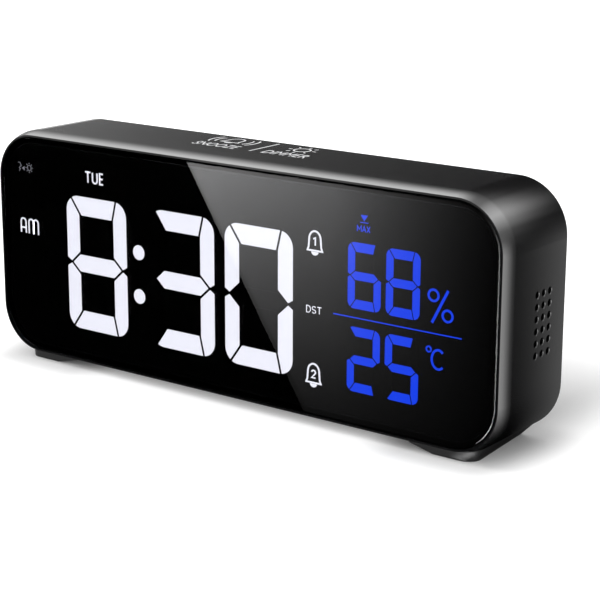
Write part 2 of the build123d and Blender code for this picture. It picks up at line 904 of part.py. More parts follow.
# Power inlet: a drawn steel shell round a plastic base and tongue
usb_inner_width = usb_width - 2 * usb_wall
usb_inner_height = usb_height - 2 * usb_wall
usb_inner_radius = usb_radius - usb_wall
with BuildPart() as usb_shell:
    with BuildSketch(behind(control_back)):
        with Locations(usb_place):
            RectangleRounded(usb_width, usb_height, usb_radius)
            RectangleRounded(usb_inner_width, usb_inner_height, usb_inner_radius, mode=Mode.SUBTRACT)
    extrude(amount=-(cover_back - control_back))

with BuildPart() as usb_tongue:
    with BuildSketch(behind(control_back)):
        with Locations(usb_place):
            RectangleRounded(
                usb_inner_width - 2 * usb_fit,
                usb_inner_height - 2 * usb_fit,
                usb_inner_radius - usb_fit,
            )
    extrude(amount=-usb_base)
    with BuildSketch(behind(control_back + usb_base)):
        with Locations(usb_place):
            Rectangle(usb_tongue_width, usb_tongue_thickness)
    extrude(amount=-(cover_back - control_back - usb_base - usb_tongue_setback))

# Bayonet door, locked: its lugs lie under the rim, a coin in its slot turns it to the notches
with BuildPart() as cell_door:
    with BuildSketch(behind(cover_back)):
        with Locations(cell_place):
            Circle(door_diameter / 2)
    extrude(amount=cover_back - door_at)
    with BuildSketch(behind(lug_back)):
        for turn in (0, 180):
            ring_sector(
                cell_place,
                door_diameter / 2 - lug_reach,
                door_diameter / 2 + lug_reach,
                turn - lug_span / 2,
                lug_span,
            )
    extrude(amount=lug_thickness)
    with BuildSketch(behind(cover_back)):
        with Locations(cell_place):
            SlotOverall(door_slot_length, door_slot_width)
    extrude(amount=door_slot_depth, mode=Mode.SUBTRACT)

with BuildPart() as coin_cell:
    with BuildSketch(behind(cell_back)):
        with Locations(cell_place):
            Circle(cell_diameter / 2)
    extrude(amount=cell_thickness - cell_cap_height)
    fillet(coin_cell.edges().group_by(Axis.Y)[-1], cell_edge_fillet)
    with BuildSketch(behind(cell_at)):
        with Locations(cell_place):
            Circle(cell_cap_diameter / 2)
    extrude(amount=-cell_cap_height)

# Cell contacts: bent strips whose legs reach the control board through the floor of the bay
with BuildPart() as cell_contact_minus:
    with BuildSketch(Plane.XY.offset(cell_place[1] - contact_width / 2)):
        with BuildLine():
            Polyline(
                (cell_shift - contact_reach / 2, at_depth(control_back)),
                (cell_shift - contact_reach / 2, at_depth(cell_at - contact_thickness / 2)),
                (cell_shift + contact_reach / 2, at_depth(cell_at - contact_thickness / 2)),
            )
        trace(line_width=contact_thickness)
    extrude(amount=contact_width)

contact_x = cell_shift + cell_diameter / 2 + contact_gap + contact_thickness / 2
with BuildPart() as cell_contact_plus:
    with BuildSketch(Plane.XY.offset(cell_place[1] - contact_width / 2)):
        with BuildLine():
            Line(
                (contact_x, at_depth(control_back)),
                (contact_x, at_depth(bay_floor_at + contact_height)),
            )
        trace(line_width=contact_thickness)
    extrude(amount=contact_width)

# Speaker: profiles turned about its axis, from the rim on the cover forwards to the magnet
speaker_radius = speaker_diameter / 2
speaker_rim_at = cover_at - speaker_rim_depth
speaker_step_at = speaker_rim_at - speaker_metal
speaker_back_at = speaker_step_at - speaker_bowl_depth
speaker_axis = Axis((speaker_shift, 0, speaker_place[1]), (0, 1, 0))
rim_inner = speaker_radius - speaker_rim
step_inner = rim_inner - speaker_step
magnet_radius = magnet_diameter / 2


def turned(profile):
    """Turn a closed profile of (radius, depth) points about the axis of the speaker."""
    with BuildPart() as ring:
        with BuildSketch(Plane.XY.offset(speaker_place[1])):
            with BuildLine():
                Polyline(*[(speaker_shift + radius, at_depth(depth)) for radius, depth in profile], close=True)
            make_face()
        revolve(axis=speaker_axis)
    return ring


speaker_basket = turned(
    [
        (0, speaker_back_at),
        (magnet_radius, speaker_back_at),
        (rim_inner, speaker_step_at),
        (speaker_radius, speaker_step_at),
        (speaker_radius, cover_at),
        (rim_inner, cover_at),
        (rim_inner, speaker_rim_at),
        (step_inner, speaker_rim_at),
        (magnet_radius, speaker_back_at + speaker_metal),
        (0, speaker_back_at + speaker_metal),
    ]
)
cone_rim = rim_inner - speaker_cone_gap
cone_radius = speaker_cone_centre / 2
cone_back = speaker_rim_at + speaker_cone_thickness
speaker_cone = turned(
    [
        (0, speaker_rim_at - speaker_cone_depth + speaker_dome_rise),
        (cone_radius, speaker_rim_at - speaker_cone_depth),
        (step_inner, speaker_rim_at),
        (cone_rim, speaker_rim_at),
        (cone_rim, cone_back),
        (step_inner, cone_back),
        (cone_radius, cone_back - speaker_cone_depth),
        (0, cone_back - speaker_cone_depth + speaker_dome_rise),
    ]
)

with BuildPart() as speaker_magnet:
    with BuildSketch(behind(speaker_back_at)):
        with Locations(speaker_place):
            Circle(magnet_radius)
    extrude(amount=magnet_thickness)

# Microphone capsule, and the sleeve that joins it to its hole in the cover
with BuildPart() as microphone:
    with BuildSketch(behind(control_back)):
        with Locations(mic_place):
            Circle(mic_diameter / 2)
    extrude(amount=-mic_height)

with BuildPart() as mic_sleeve:
    with BuildSketch(behind(control_back)):
        with Locations(mic_place):
            Circle(mic_diameter / 2 + mic_clearance + mic_sleeve_wall)
            Circle(mic_diameter / 2 + mic_clearance, mode=Mode.SUBTRACT)
    extrude(amount=-board_standoff)

# Climate sensor: a board in the rails, with the humidity element and the thermistor facing the vents
with BuildPart() as sensor_board:
    with BuildSketch(Plane.YZ.offset(sensor_face)):
        with Locations((sensor_y, sensor_z)):
            Rectangle(sensor_board_width, sensor_board_height)
    extrude(amount=-sensor_board_thickness)

with BuildPart() as humidity_sensor:
    with BuildSketch(Plane.YZ.offset(sensor_face)):
        with Locations((sensor_y, sensor_z + humidity_rise)):
            Rectangle(humidity_side, humidity_side)
    extrude(amount=humidity_height)
    with BuildSketch(Plane.YZ.offset(sensor_face + humidity_height)):
        with Locations((sensor_y, sensor_z + humidity_rise)):
            Rectangle(humidity_window, humidity_window)
    extrude(amount=-humidity_window_depth, mode=Mode.SUBTRACT)

# A bead at the end of two stiff legs, which lie on the board
thermistor_z = sensor_z - thermistor_drop
with BuildPart() as thermistor:
    with Locations((sensor_face + thermistor_diameter / 2, sensor_y, thermistor_z)):
        Sphere(thermistor_diameter / 2)
    with BuildSketch(Plane.XY.offset(thermistor_z)):
        with Locations((sensor_face + thermistor_leg / 2, sensor_y)):
            with GridLocations(thermistor_leg, 2 * thermistor_leg, 1, 2):
                Rectangle(thermistor_leg, thermistor_leg)
    extrude(amount=-thermistor_leg_length)

# Touch electrodes, glued under the top wall
electrode_top = middle + cavity_height / 2


def electrode(x):
    """Give the foil electrode whose middle is at x."""
    with BuildPart() as foil:
        with BuildSketch(Plane.XY.offset(electrode_top)):
            with Locations((x, at_depth(electrode_depth))):
                Rectangle(electrode_width, electrode_share * room_depth)
        extrude(amount=-electrode_thickness)
    return foil


snooze_electrode = electrode(snooze_centre)
dimmer_electrode = electrode(dimmer_centre)


def lead(*points):
    """Add a thin wire along straight runs with rounded corners."""
    with BuildLine() as route:
        FilletPolyline(*points, radius=lead_bend)
    with BuildSketch(Plane(origin=route.line @ 0, z_dir=route.line % 0)) as section:
        Circle(lead_diameter / 2)
    sweep(section.sketch, path=route.line)


electrode_bottom = electrode_top - electrode_thickness
touch_lead_depth = control_at - touch_lead_reach
with BuildPart() as touch_leads:
    for x in (snooze_centre, dimmer_centre):
        lead(
            (x, at_depth(touch_lead_depth), electrode_bottom),
            (x, at_depth(touch_lead_depth), electrode_bottom - touch_lead_drop),
            (x, at_depth(control_at), electrode_bottom - touch_lead_drop),
        )

speaker_lead_x = speaker_shift - speaker_lead_start
magnet_front = speaker_back_at - magnet_thickness
speaker_lead_depth = magnet_front - speaker_lead_loop
with BuildPart() as speaker_lead:
    lead(
        (speaker_lead_x, at_depth(magnet_front), speaker_place[1]),
        (speaker_lead_x, at_depth(speaker_lead_depth), speaker_place[1]),
        (speaker_lead_x - speaker_lead_run, at_depth(speaker_lead_depth), middle + speaker_lead_rise),
        (speaker_lead_x - speaker_lead_run, at_depth(control_at), middle + speaker_lead_rise),
    )

sensor_lead_end = control_right - sensor_lead_inset
with BuildPart() as sensor_lead:
    lead(
        (sensor_face - sensor_board_thickness, sensor_y, sensor_z),
        (sensor_face - sensor_board_thickness - sensor_lead_start, sensor_y, sensor_z),
        (sensor_lead_end, at_depth(control_at - sensor_lead_reach), sensor_z + sensor_lead_rise),
        (sensor_lead_end, at_depth(control_at), sensor_z + sensor_lead_rise),
    )


def foot(side):
    """Give the foot at one end: a low block with an inner ramp, cut to the underside of the shell."""
    outer = side * (body_width / 2 - foot_side_inset)
    foot_top = foot_height + foot_bury
    foot_rear = body_depth - foot_rear_inset
    flare = tan(radians(foot_flare_angle))
    with BuildPart() as block:
        with BuildSketch(behind(foot_end_inset)):
            with BuildLine():
                Polyline(
                    (side * body_width / 2, foot_top),
                    (side * body_width / 2, 0),
                    (outer - side * foot_flat, 0),
                    (outer - side * (foot_flat + foot_ramp), foot_height),
                    (outer - side * (foot_flat + foot_ramp), foot_top),
                    close=True,
                )
            make_face()
        extrude(amount=foot_end_inset - foot_rear)
        for depth, sole, lean in ((foot_end_inset, outer, 0), (foot_rear, outer - side * foot_side_taper, flare)):
            with BuildSketch(behind(depth)):
                with BuildLine():
                    Polyline(
                        (sole - side * lean * foot_bury, -foot_bury),
                        (sole + side * lean * (foot_top + foot_bury), foot_top + foot_bury),
                        (side * body_width, foot_top + foot_bury),
                        (side * body_width, -foot_bury),
                        close=True,
                    )
                make_face()
        loft(ruled=True, mode=Mode.SUBTRACT)
        outwards = Axis((0, 0, 0), (side, 0, 0))
        fillet(block.edges().filter_by(Axis.Z).sort_by(outwards)[-1], foot_corner_radius)
        add(body_blank.part, mode=Mode.SUBTRACT)
        with BuildSketch(Plane.XY.offset(foot_height)):
            with Locations((side * peg_x, 0)):
                with GridLocations(peg_diameter, peg_spacing, 1, 2):
                    Circle(peg_diameter / 2)
        extrude(amount=wall - peg_end_gap)
    return block


pieces = {
    "housing": housing,
    "front_lens": front_lens,
    "lens_tape": lens_tape,
    "display_frame": display_frame,
    "time_segments": time_segments,
    "time_segments_dark": time_segments_dark,
    "humidity_segments": humidity_segments,
    "temperature_segments": temperature_segments,
    "climate_segments_dark": climate_segments_dark,
    "led_board": led_board,
    "led_chips": led_chips,
    "display_screws": display_screws,
    "control_board": control_board,
    "controller_chip": controller_chip,
    "header_strip": header_strip,
    "header_socket": header_socket,
    "tact_switches": tact_switches,
    "board_screws": board_screws,
    "rear_cover": rear_cover,
    "cover_screws": cover_screws,
    **keys,
    "usb_shell": usb_shell,
    "usb_tongue": usb_tongue,
    "cell_door": cell_door,
    "coin_cell": coin_cell,
    "cell_contact_minus": cell_contact_minus,
    "cell_contact_plus": cell_contact_plus,
    "speaker_basket": speaker_basket,
    "speaker_cone": speaker_cone,
    "speaker_magnet": speaker_magnet,
    "microphone": microphone,
    "mic_sleeve": mic_sleeve,
    "sensor_board": sensor_board,
    "humidity_sensor": humidity_sensor,
    "thermistor": thermistor,
    "snooze_electrode": snooze_electrode,
    "dimmer_electrode": dimmer_electrode,
    "touch_leads": touch_leads,
    "speaker_lead": speaker_lead,
    "sensor_lead": sensor_lead,
    "foot_left": foot(-1),
    "foot_right": foot(1),
}

os.makedirs("parts", exist_ok=True)
for label, piece in pieces.items():
    piece.part.label = label
    export_step(piece.part, f"parts/{label}.step")
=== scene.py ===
import logging
import math
from dataclasses import dataclass
from enum import Enum
from typing import Any, Callable, Sequence

import bmesh
import bpy
from mathutils import Matrix, Vector


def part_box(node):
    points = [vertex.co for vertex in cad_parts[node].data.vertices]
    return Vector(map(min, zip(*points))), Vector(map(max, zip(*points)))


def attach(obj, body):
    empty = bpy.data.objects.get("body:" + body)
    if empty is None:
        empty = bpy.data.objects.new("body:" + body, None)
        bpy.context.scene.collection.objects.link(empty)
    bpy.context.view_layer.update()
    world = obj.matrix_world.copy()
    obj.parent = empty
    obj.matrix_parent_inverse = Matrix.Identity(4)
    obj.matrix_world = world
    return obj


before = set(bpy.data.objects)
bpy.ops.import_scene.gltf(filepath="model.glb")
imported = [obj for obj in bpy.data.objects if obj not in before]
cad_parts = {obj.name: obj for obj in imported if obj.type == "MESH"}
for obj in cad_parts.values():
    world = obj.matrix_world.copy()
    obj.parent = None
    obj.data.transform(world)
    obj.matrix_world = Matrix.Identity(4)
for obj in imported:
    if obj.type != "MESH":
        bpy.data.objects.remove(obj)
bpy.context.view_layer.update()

log = logging.getLogger("clock")

MM = 0.001
CASE = "case"
FULL_TONE = 255

# Limits between which nearly all of a noise lies, and how finely it is drawn
NOISE_LOW = 0.3
NOISE_HIGH = 0.7
NOISE_DETAIL = 3.0
NOISE_ROUGHNESS = 0.55

# How signs are drawn: the sharpest mitre, the runs of a ring and of a curve in a letter, half the depth
# of a letter before it is set on its face, and the distance in metres at which points are joined
MITRE_LIMIT = 0.6
RING_STEPS = 28
LETTER_STEPS = 4
LETTER_DEPTH = 0.5
WELD = 1e-8

# A slot name of white polymer, passed with the white print but not used
PRINT_SLOT = "sensor_body"

# Faces of the CAD pieces that carry print or signs, in metres
DISPLAY_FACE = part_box("display_frame")[0][1]
FRONT_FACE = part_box("housing")[0][1]
TOP_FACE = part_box("housing")[1][2]
REAR_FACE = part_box("cell_door")[1][1]

Tree = bpy.types.NodeTree
Node = bpy.types.Node
Socket = bpy.types.NodeSocket
Material = bpy.types.Material
Mesh = bpy.types.Mesh
Piece = bpy.types.Object
Point = tuple[float, float]
Place = tuple[float, float, float]
CardPoint = tuple[Vector, float]
Sockets = tuple[dict[str, Any], dict[str, Socket]]
Placing = Callable[[float, float, float], Vector]

ZERO: Place = (0.0, 0.0, 0.0)


# Helpers for colours, nodes and meshes


def share_light(share: float) -> float:
    """Turn an sRGB share from 0 to 1 into linear light."""
    return share / 12.92 if share <= 0.04045 else ((share + 0.055) / 1.055) ** 2.4


def linear(code: str) -> tuple[float, float, float, float]:
    """Turn an sRGB hex colour into linear light.

    Args:
        code: the colour, such as "#1A1B1C".

    Returns:
        Linear red, green, blue and an alpha of 1.
    """
    red, green, blue = (share_light(int(code[i : i + 2], 16) / FULL_TONE) for i in (1, 3, 5))
    return red, green, blue, 1.0


def add_node(
    tree: Tree,
    kind: str,
    settings: dict[Any, Any] | None = None,
    links: dict[Any, Socket] | None = None,
) -> Node:
    """Add a node with its settings and links.

    Args:
        tree: the node tree that gets the node.
        kind: Blender's name for the kind of node.
        settings: values by input name or number, or else by attribute name.
        links: sockets that feed the node, by input name or number.

    Returns:
        The new node.
    """
    node = tree.nodes.new(kind)
    for key, value in (settings or {}).items():
        if isinstance(key, int) or key in node.inputs:
            node.inputs[key].default_value = value
        else:
            setattr(node, key, value)
    for key, socket in (links or {}).items():
        tree.links.new(socket, node.inputs[key])
    return node


def bare_material(name: str) -> tuple[Material, Tree]:
    """Make a material with no nodes in it.

    Args:
        name: name of the material.

    Returns:
        The material and its node tree.
    """
    material = bpy.data.materials.new(name)
    material.use_nodes = True
    material.node_tree.nodes.clear()
    return material, material.node_tree


def new_object(name: str, mesh: Mesh, material: Material) -> Piece:
    """Put a mesh into the scene as an object with one material.

    Args:
        name: name of the piece.
        mesh: its mesh, in the shared frame.
        material: what it is made of.

    Returns:
        The new object.
    """
    piece = bpy.data.objects.new(name, mesh)
    bpy.context.scene.collection.objects.link(piece)
    mesh.materials.append(material)
    return piece


# Finishes


@dataclass(frozen=True)
class Finish:
    """What a surface is made of and how it was made."""

    name: str

    def make(self) -> Material:
        """Build the material.

        Returns:
            The new material.
        """
        material, tree = bare_material(self.name)
        place = add_node(tree, "ShaderNodeTexCoord").outputs["Object"]
        shader = add_node(tree, "ShaderNodeBsdfPrincipled", *self.sockets(tree, place))
        add_node(tree, "ShaderNodeOutputMaterial", links={"Surface": shader.outputs[0]})
        return material

    def sockets(self, tree: Tree, place: Socket) -> Sockets:
        """Give the settings and links of the shader, which each kind of finish has of its own."""
        raise NotImplementedError

    def noise(self, tree: Tree, place: Socket, grain_mm: float) -> Socket:
        """Add a noise whose grains have a real size.

        Args:
            tree: the node tree.
            place: the coordinates that it follows.
            grain_mm: size of a grain in millimetres.

        Returns:
            The value of the noise.
        """
        settings = {"Scale": 1 / (grain_mm * MM), "Detail": NOISE_DETAIL, "Roughness": NOISE_ROUGHNESS}
        return add_node(tree, "ShaderNodeTexNoise", settings, {"Vector": place}).outputs["Fac"]

    def blend(self, tree: Tree, factor: Socket, low: str, high: str) -> Socket:
        """Add a ramp between two colours.

        Args:
            tree: the node tree.
            factor: the noise that drives the ramp.
            low: hex colour at low values.
            high: hex colour at high values.

        Returns:
            The colour.
        """
        ramp = add_node(tree, "ShaderNodeValToRGB", links={"Fac": factor})
        for stop, position, code in zip(ramp.color_ramp.elements, (NOISE_LOW, NOISE_HIGH), (low, high)):
            stop.position = position
            stop.color = linear(code)
        return ramp.outputs["Color"]

    def spread(self, tree: Tree, factor: Socket, low: float, high: float) -> Socket:
        """Spread a noise between two limits.

        Args:
            tree: the node tree.
            factor: the noise.
            low: result at its low end.
            high: result at its high end.

        Returns:
            The value.
        """
        settings = {"From Min": NOISE_LOW, "From Max": NOISE_HIGH, "To Min": low, "To Max": high}
        return add_node(tree, "ShaderNodeMapRange", settings, {"Value": factor}).outputs["Result"]

    def relief(self, tree: Tree, height: Socket, strength: float, depth_mm: float) -> Socket:
        """Add the fine relief of a surface.

        Args:
            tree: the node tree.
            height: the noise that it follows.
            strength: how much of it shows.
            depth_mm: its depth in millimetres.

        Returns:
            The direction of the surface.
        """
        settings = {"Strength": strength, "Distance": depth_mm * MM}
        return add_node(tree, "ShaderNodeBump", settings, {"Height": height}).outputs["Normal"]


@dataclass(frozen=True)
class Moulded(Finish):
    """Moulded plastic or rubber: the texture of the tool gives a fine, even grain.

    The grain is drawn two to four times as large as a real one, so that it shows close up.
    """

    colour: str
    tone: str
    roughness: tuple[float, float]
    ior: float = 1.54
    specular: float = 0.5
    mottle_mm: float = 14.0
    grain_mm: float = 0.4
    grain_depth_mm: float = 0.012
    bump: float = 0.6

    def sockets(self, tree: Tree, place: Socket) -> Sockets:
        """Give the shader's own settings and links.

        Args:
            tree: the node tree.
            place: the coordinates that the patterns follow, in metres.

        Returns:
            The settings and the links, by input name.
        """
        mottle = self.noise(tree, place, self.mottle_mm)
        grain = self.noise(tree, place, self.grain_mm)
        links = {
            "Base Color": self.blend(tree, mottle, self.colour, self.tone),
            "Roughness": self.spread(tree, grain, *self.roughness),
            "Normal": self.relief(tree, grain, self.bump, self.grain_depth_mm),
        }
        return {"IOR": self.ior, "Specular IOR Level": self.specular}, links


@dataclass(frozen=True)
class Acrylic(Finish):
    """Cast acrylic, dyed in the mass and polished: a sharp reflection over a dark, clear depth."""

    tint: str
    roughness: tuple[float, float]
    ior: float = 1.49
    haze_mm: float = 25.0

    def sockets(self, tree: Tree, place: Socket) -> Sockets:
        """Give the shader's own settings and links.

        Args:
            tree: the node tree.
            place: the coordinates that the patterns follow, in metres.

        Returns:
            The settings and the links, by input name.
        """
        haze = self.noise(tree, place, self.haze_mm)
        settings = {"Base Color": linear(self.tint), "IOR": self.ior, "Transmission Weight": 1.0}
        return settings, {"Roughness": self.spread(tree, haze, *self.roughness)}


@dataclass(frozen=True)
class Lit(Finish):
    """Milky polycarbonate with a light behind it: an even glow, with the pigment just visible as cloud."""

    colour: str
    tone: str
    glow: str
    strength: float
    roughness: float = 0.5
    ior: float = 1.58
    cloud_mm: float = 3.0

    def sockets(self, tree: Tree, place: Socket) -> Sockets:
        """Give the shader's own settings and links.

        Args:
            tree: the node tree.
            place: the coordinates that the patterns follow, in metres.

        Returns:
            The settings and the links, by input name.
        """
        cloud = self.noise(tree, place, self.cloud_mm)
        settings = {
            "Roughness": self.roughness,
            "IOR": self.ior,
            "Emission Color": linear(self.glow),
            "Emission Strength": self.strength,
        }
        return settings, {"Base Color": self.blend(tree, cloud, self.colour, self.tone)}


@dataclass(frozen=True)
class Metal(Finish):
    """Rolled or drawn metal, bare or plated: fine lines along the way that it was drawn.

    The lines are drawn a few times as wide as real ones, so that they show close up.
    """

    colour: str
    tone: str
    roughness: tuple[float, float]
    line_mm: float = 0.25
    line_depth_mm: float = 0.004
    bump: float = 0.3
    stretch: Place = (0.06, 1.0, 1.0)

    def sockets(self, tree: Tree, place: Socket) -> Sockets:
        """Give the shader's own settings and links.

        Args:
            tree: the node tree.
            place: the coordinates that the patterns follow, in metres.

        Returns:
            The settings and the links, by input name.
        """
        drawn = add_node(tree, "ShaderNodeMapping", {"Scale": self.stretch}, {"Vector": place})
        lines = self.noise(tree, drawn.outputs["Vector"], self.line_mm)
        links = {
            "Base Color": self.blend(tree, lines, self.colour, self.tone),
            "Roughness": self.spread(tree, lines, *self.roughness),
            "Normal": self.relief(tree, lines, self.bump, self.line_depth_mm),
        }
        return {"Metallic": 1.0}, links


# Injection-moulded ABS from a fine spark-eroded tool: a deep black with soft-edged highlights.
SHELL_ABS = Moulded(
    "black ABS, fine spark texture", "#0B0B0C", "#0F0F10", (0.13, 0.18), grain_mm=0.25, grain_depth_mm=0.002
)
# The same ABS from a coarser tool: the cover and the door look matt, with no clear highlight.
COVER_ABS = Moulded(
    "black ABS, matt texture", "#131314", "#19191A", (0.46, 0.58), grain_mm=0.5, grain_depth_mm=0.018
)
# ABS keys from a satin tool: a shade lighter than the cover, so that each one stands out.
KEY_ABS = Moulded("black ABS, satin keys", "#1C1C1E", "#222224", (0.34, 0.42), grain_mm=0.3)
# Black ABS from a matt tool: the black of the mask, made darker than any ABS as painted shade of the room
# behind the lens.
MASK_ABS_AND_SHADE = Moulded("black ABS, display mask, painted shade", "#020202", "#030303", (0.8, 0.9), specular=0.04)
# Polycarbonate dyed in the mass, as dark as the mask with its painted shade: windows that can't be told from
# the mask while they are off.
DARK_PC_AND_SHADE = Moulded("smoked polycarbonate, unlit", "#020202", "#030303", (0.8, 0.9), specular=0.04)
# Dyed cast acrylic, diamond-polished: black where it mirrors nothing.
LENS_ACRYLIC = Acrylic("smoked acrylic, polished", "#B4B4B8", (0.0, 0.015))
# Moulded polycarbonate with a white pigment, over LEDs: an even white with a cool tinge.
WHITE_PC = Lit("milky polycarbonate, lit white", "#E8E8EC", "#F4F4F6", "#F1F2F8", 2.1)
# The same over blue LEDs: a full, even blue.
BLUE_PC = Lit("milky polycarbonate, lit blue", "#101C58", "#142468", "#0D41F0", 2.05)
# Film with fine windows that get little light: a dim grey.
DIM_WHITE_PC = Lit("mask film, dim white light", "#404044", "#4C4C50", "#9A9AA2", 1.3)
# Screen-printed ink: flat and slightly chalky, with the mesh of the screen as a faint grain.
WHITE_INK = Moulded(
    "white screen ink", "#E0E0E2", "#EEEEF0", (0.55, 0.65), grain_mm=0.2, grain_depth_mm=0.004
)
# Compression-moulded rubber from a smooth tool: black, with soft highlights on its rounded corners.
FOOT_RUBBER = Moulded(
    "black rubber, moulded", "#0D0D0E", "#121213", (0.46, 0.54), ior=1.52, grain_depth_mm=0.003
)
# Cast silicone: a dull, soft black.
SLEEVE_RUBBER = Moulded("black silicone rubber", "#151515", "#1A1A1A", (0.6, 0.7), ior=1.41)
# Die-cut foam with fine cells: no highlight and a coarse grain.
TAPE_FOAM = Moulded(
    "black adhesive foam", "#0C0C0C", "#141414", (0.8, 0.9), grain_mm=0.25, grain_depth_mm=0.03
)
# Woven glass in resin under a printed solder mask: a green gloss, with the weave as a mottle.
BOARD_MASK = Moulded(
    "glass-fibre board, green solder mask", "#0E4A22", "#14602C", (0.25, 0.35), mottle_mm=3.0
)
# Transfer-moulded resin: a dull, dark grey.
CHIP_RESIN = Moulded("black moulding compound", "#1A1A1A", "#242424", (0.5, 0.6))
# Phosphor cast in clear resin: pale yellow with a wet shine.
LED_RESIN = Moulded("phosphor resin", "#E0D48A", "#ECE2A4", (0.2, 0.3), mottle_mm=0.5)
# Moulded white polymer: chalky, with a weak highlight.
SENSOR_POLYMER = Moulded("white sensor polymer", "#D8D8D0", "#E4E4DC", (0.5, 0.6))
# Thermoformed film: dark and shiny.
SPEAKER_FILM = Moulded("polyester film, thermoformed", "#202022", "#2A2A2C", (0.2, 0.3))
# Extruded PVC: an even red with a soft shine along the lead.
LEAD_PVC = Moulded("red PVC, extruded", "#7A1414", "#8C1A1A", (0.35, 0.45))
# Sintered ferrite: dark grey and speckled, like stone.
FERRITE = Moulded("ferrite, sintered", "#38383A", "#444446", (0.5, 0.6), mottle_mm=1.0)
# Steel with a black zinc plating, tumbled: dark, with fine drawn lines.
BLACK_STEEL = Metal("black zinc-plated steel", "#4A4A4C", "#5C5C5E", (0.3, 0.45))
# Tinned and drawn steel: bright, with lines along the draw.
TINNED_STEEL = Metal("tinned steel, drawn", "#B8B8BA", "#CECED0", (0.22, 0.36), stretch=(1.0, 0.06, 1.0))
# Rolled stainless steel: bright, with lines along the strip.
CELL_STEEL = Metal("stainless steel, rolled", "#BEBEC0", "#D0D0D2", (0.2, 0.32))
# Rolled strip with a nickel plating: bright, with a warm tinge.
NICKEL_STRIP = Metal("nickel-plated strip", "#B4AEA2", "#C8C2B6", (0.25, 0.35))
# Deep-drawn aluminium: pale, with a soft sheen.
CAN_ALUMINIUM = Metal("aluminium can, drawn", "#B6B8BA", "#CACCCE", (0.3, 0.4))

# The set keys and what is printed over each
KEY_WORDS = {
    "time": "TIME",
    "alarm_one": "AL 1",
    "alarm_two": "AL 2",
    "memory": "MEM",
    "minus": "-",
    "plus": "+",
}

NODE_FINISHES: dict[Finish, tuple[str, ...]] = {
    SHELL_ABS: ("housing",),
    COVER_ABS: ("rear_cover", "cell_door"),
    KEY_ABS: tuple(f"{name}_key" for name in KEY_WORDS),
    MASK_ABS_AND_SHADE: ("display_frame",),
    DARK_PC_AND_SHADE: ("time_segments_dark", "climate_segments_dark"),
    LENS_ACRYLIC: ("front_lens",),
    WHITE_PC: ("time_segments",),
    BLUE_PC: ("humidity_segments", "temperature_segments"),
    FOOT_RUBBER: ("foot_left", "foot_right"),
    SLEEVE_RUBBER: ("mic_sleeve",),
    TAPE_FOAM: ("lens_tape",),
    BOARD_MASK: ("led_board", "control_board", "sensor_board"),
    CHIP_RESIN: (
        "controller_chip",
        "header_strip",
        "header_socket",
        "tact_switches",
        "thermistor",
        "usb_tongue",
        *(f"{name}_plunger" for name in KEY_WORDS),
    ),
    LED_RESIN: ("led_chips",),
    SENSOR_POLYMER: ("humidity_sensor",),
    SPEAKER_FILM: ("speaker_cone",),
    LEAD_PVC: ("touch_leads", "speaker_lead", "sensor_lead"),
    FERRITE: ("speaker_magnet",),
    BLACK_STEEL: ("display_screws", "board_screws", "cover_screws"),
    TINNED_STEEL: ("usb_shell", "speaker_basket"),
    CELL_STEEL: ("coin_cell",),
    NICKEL_STRIP: ("cell_contact_minus", "cell_contact_plus", "snooze_electrode", "dimmer_electrode"),
    CAN_ALUMINIUM: ("microphone",),
}


class FinishShelf:
    """Keeps one material for each finish."""

    def __init__(self) -> None:
        """Start with no material made."""
        self.made: dict[Finish, Material] = {}

    def get(self, finish: Finish) -> Material:
        """Give the material of a finish, made once.

        Args:
            finish: the finish.

        Returns:
            Its material.
        """
        if finish not in self.made:
            self.made[finish] = finish.make()
        return self.made[finish]


SHELF = FinishShelf()


# Flat signs: strokes, filled outlines and words, drawn in millimetres and set on a face


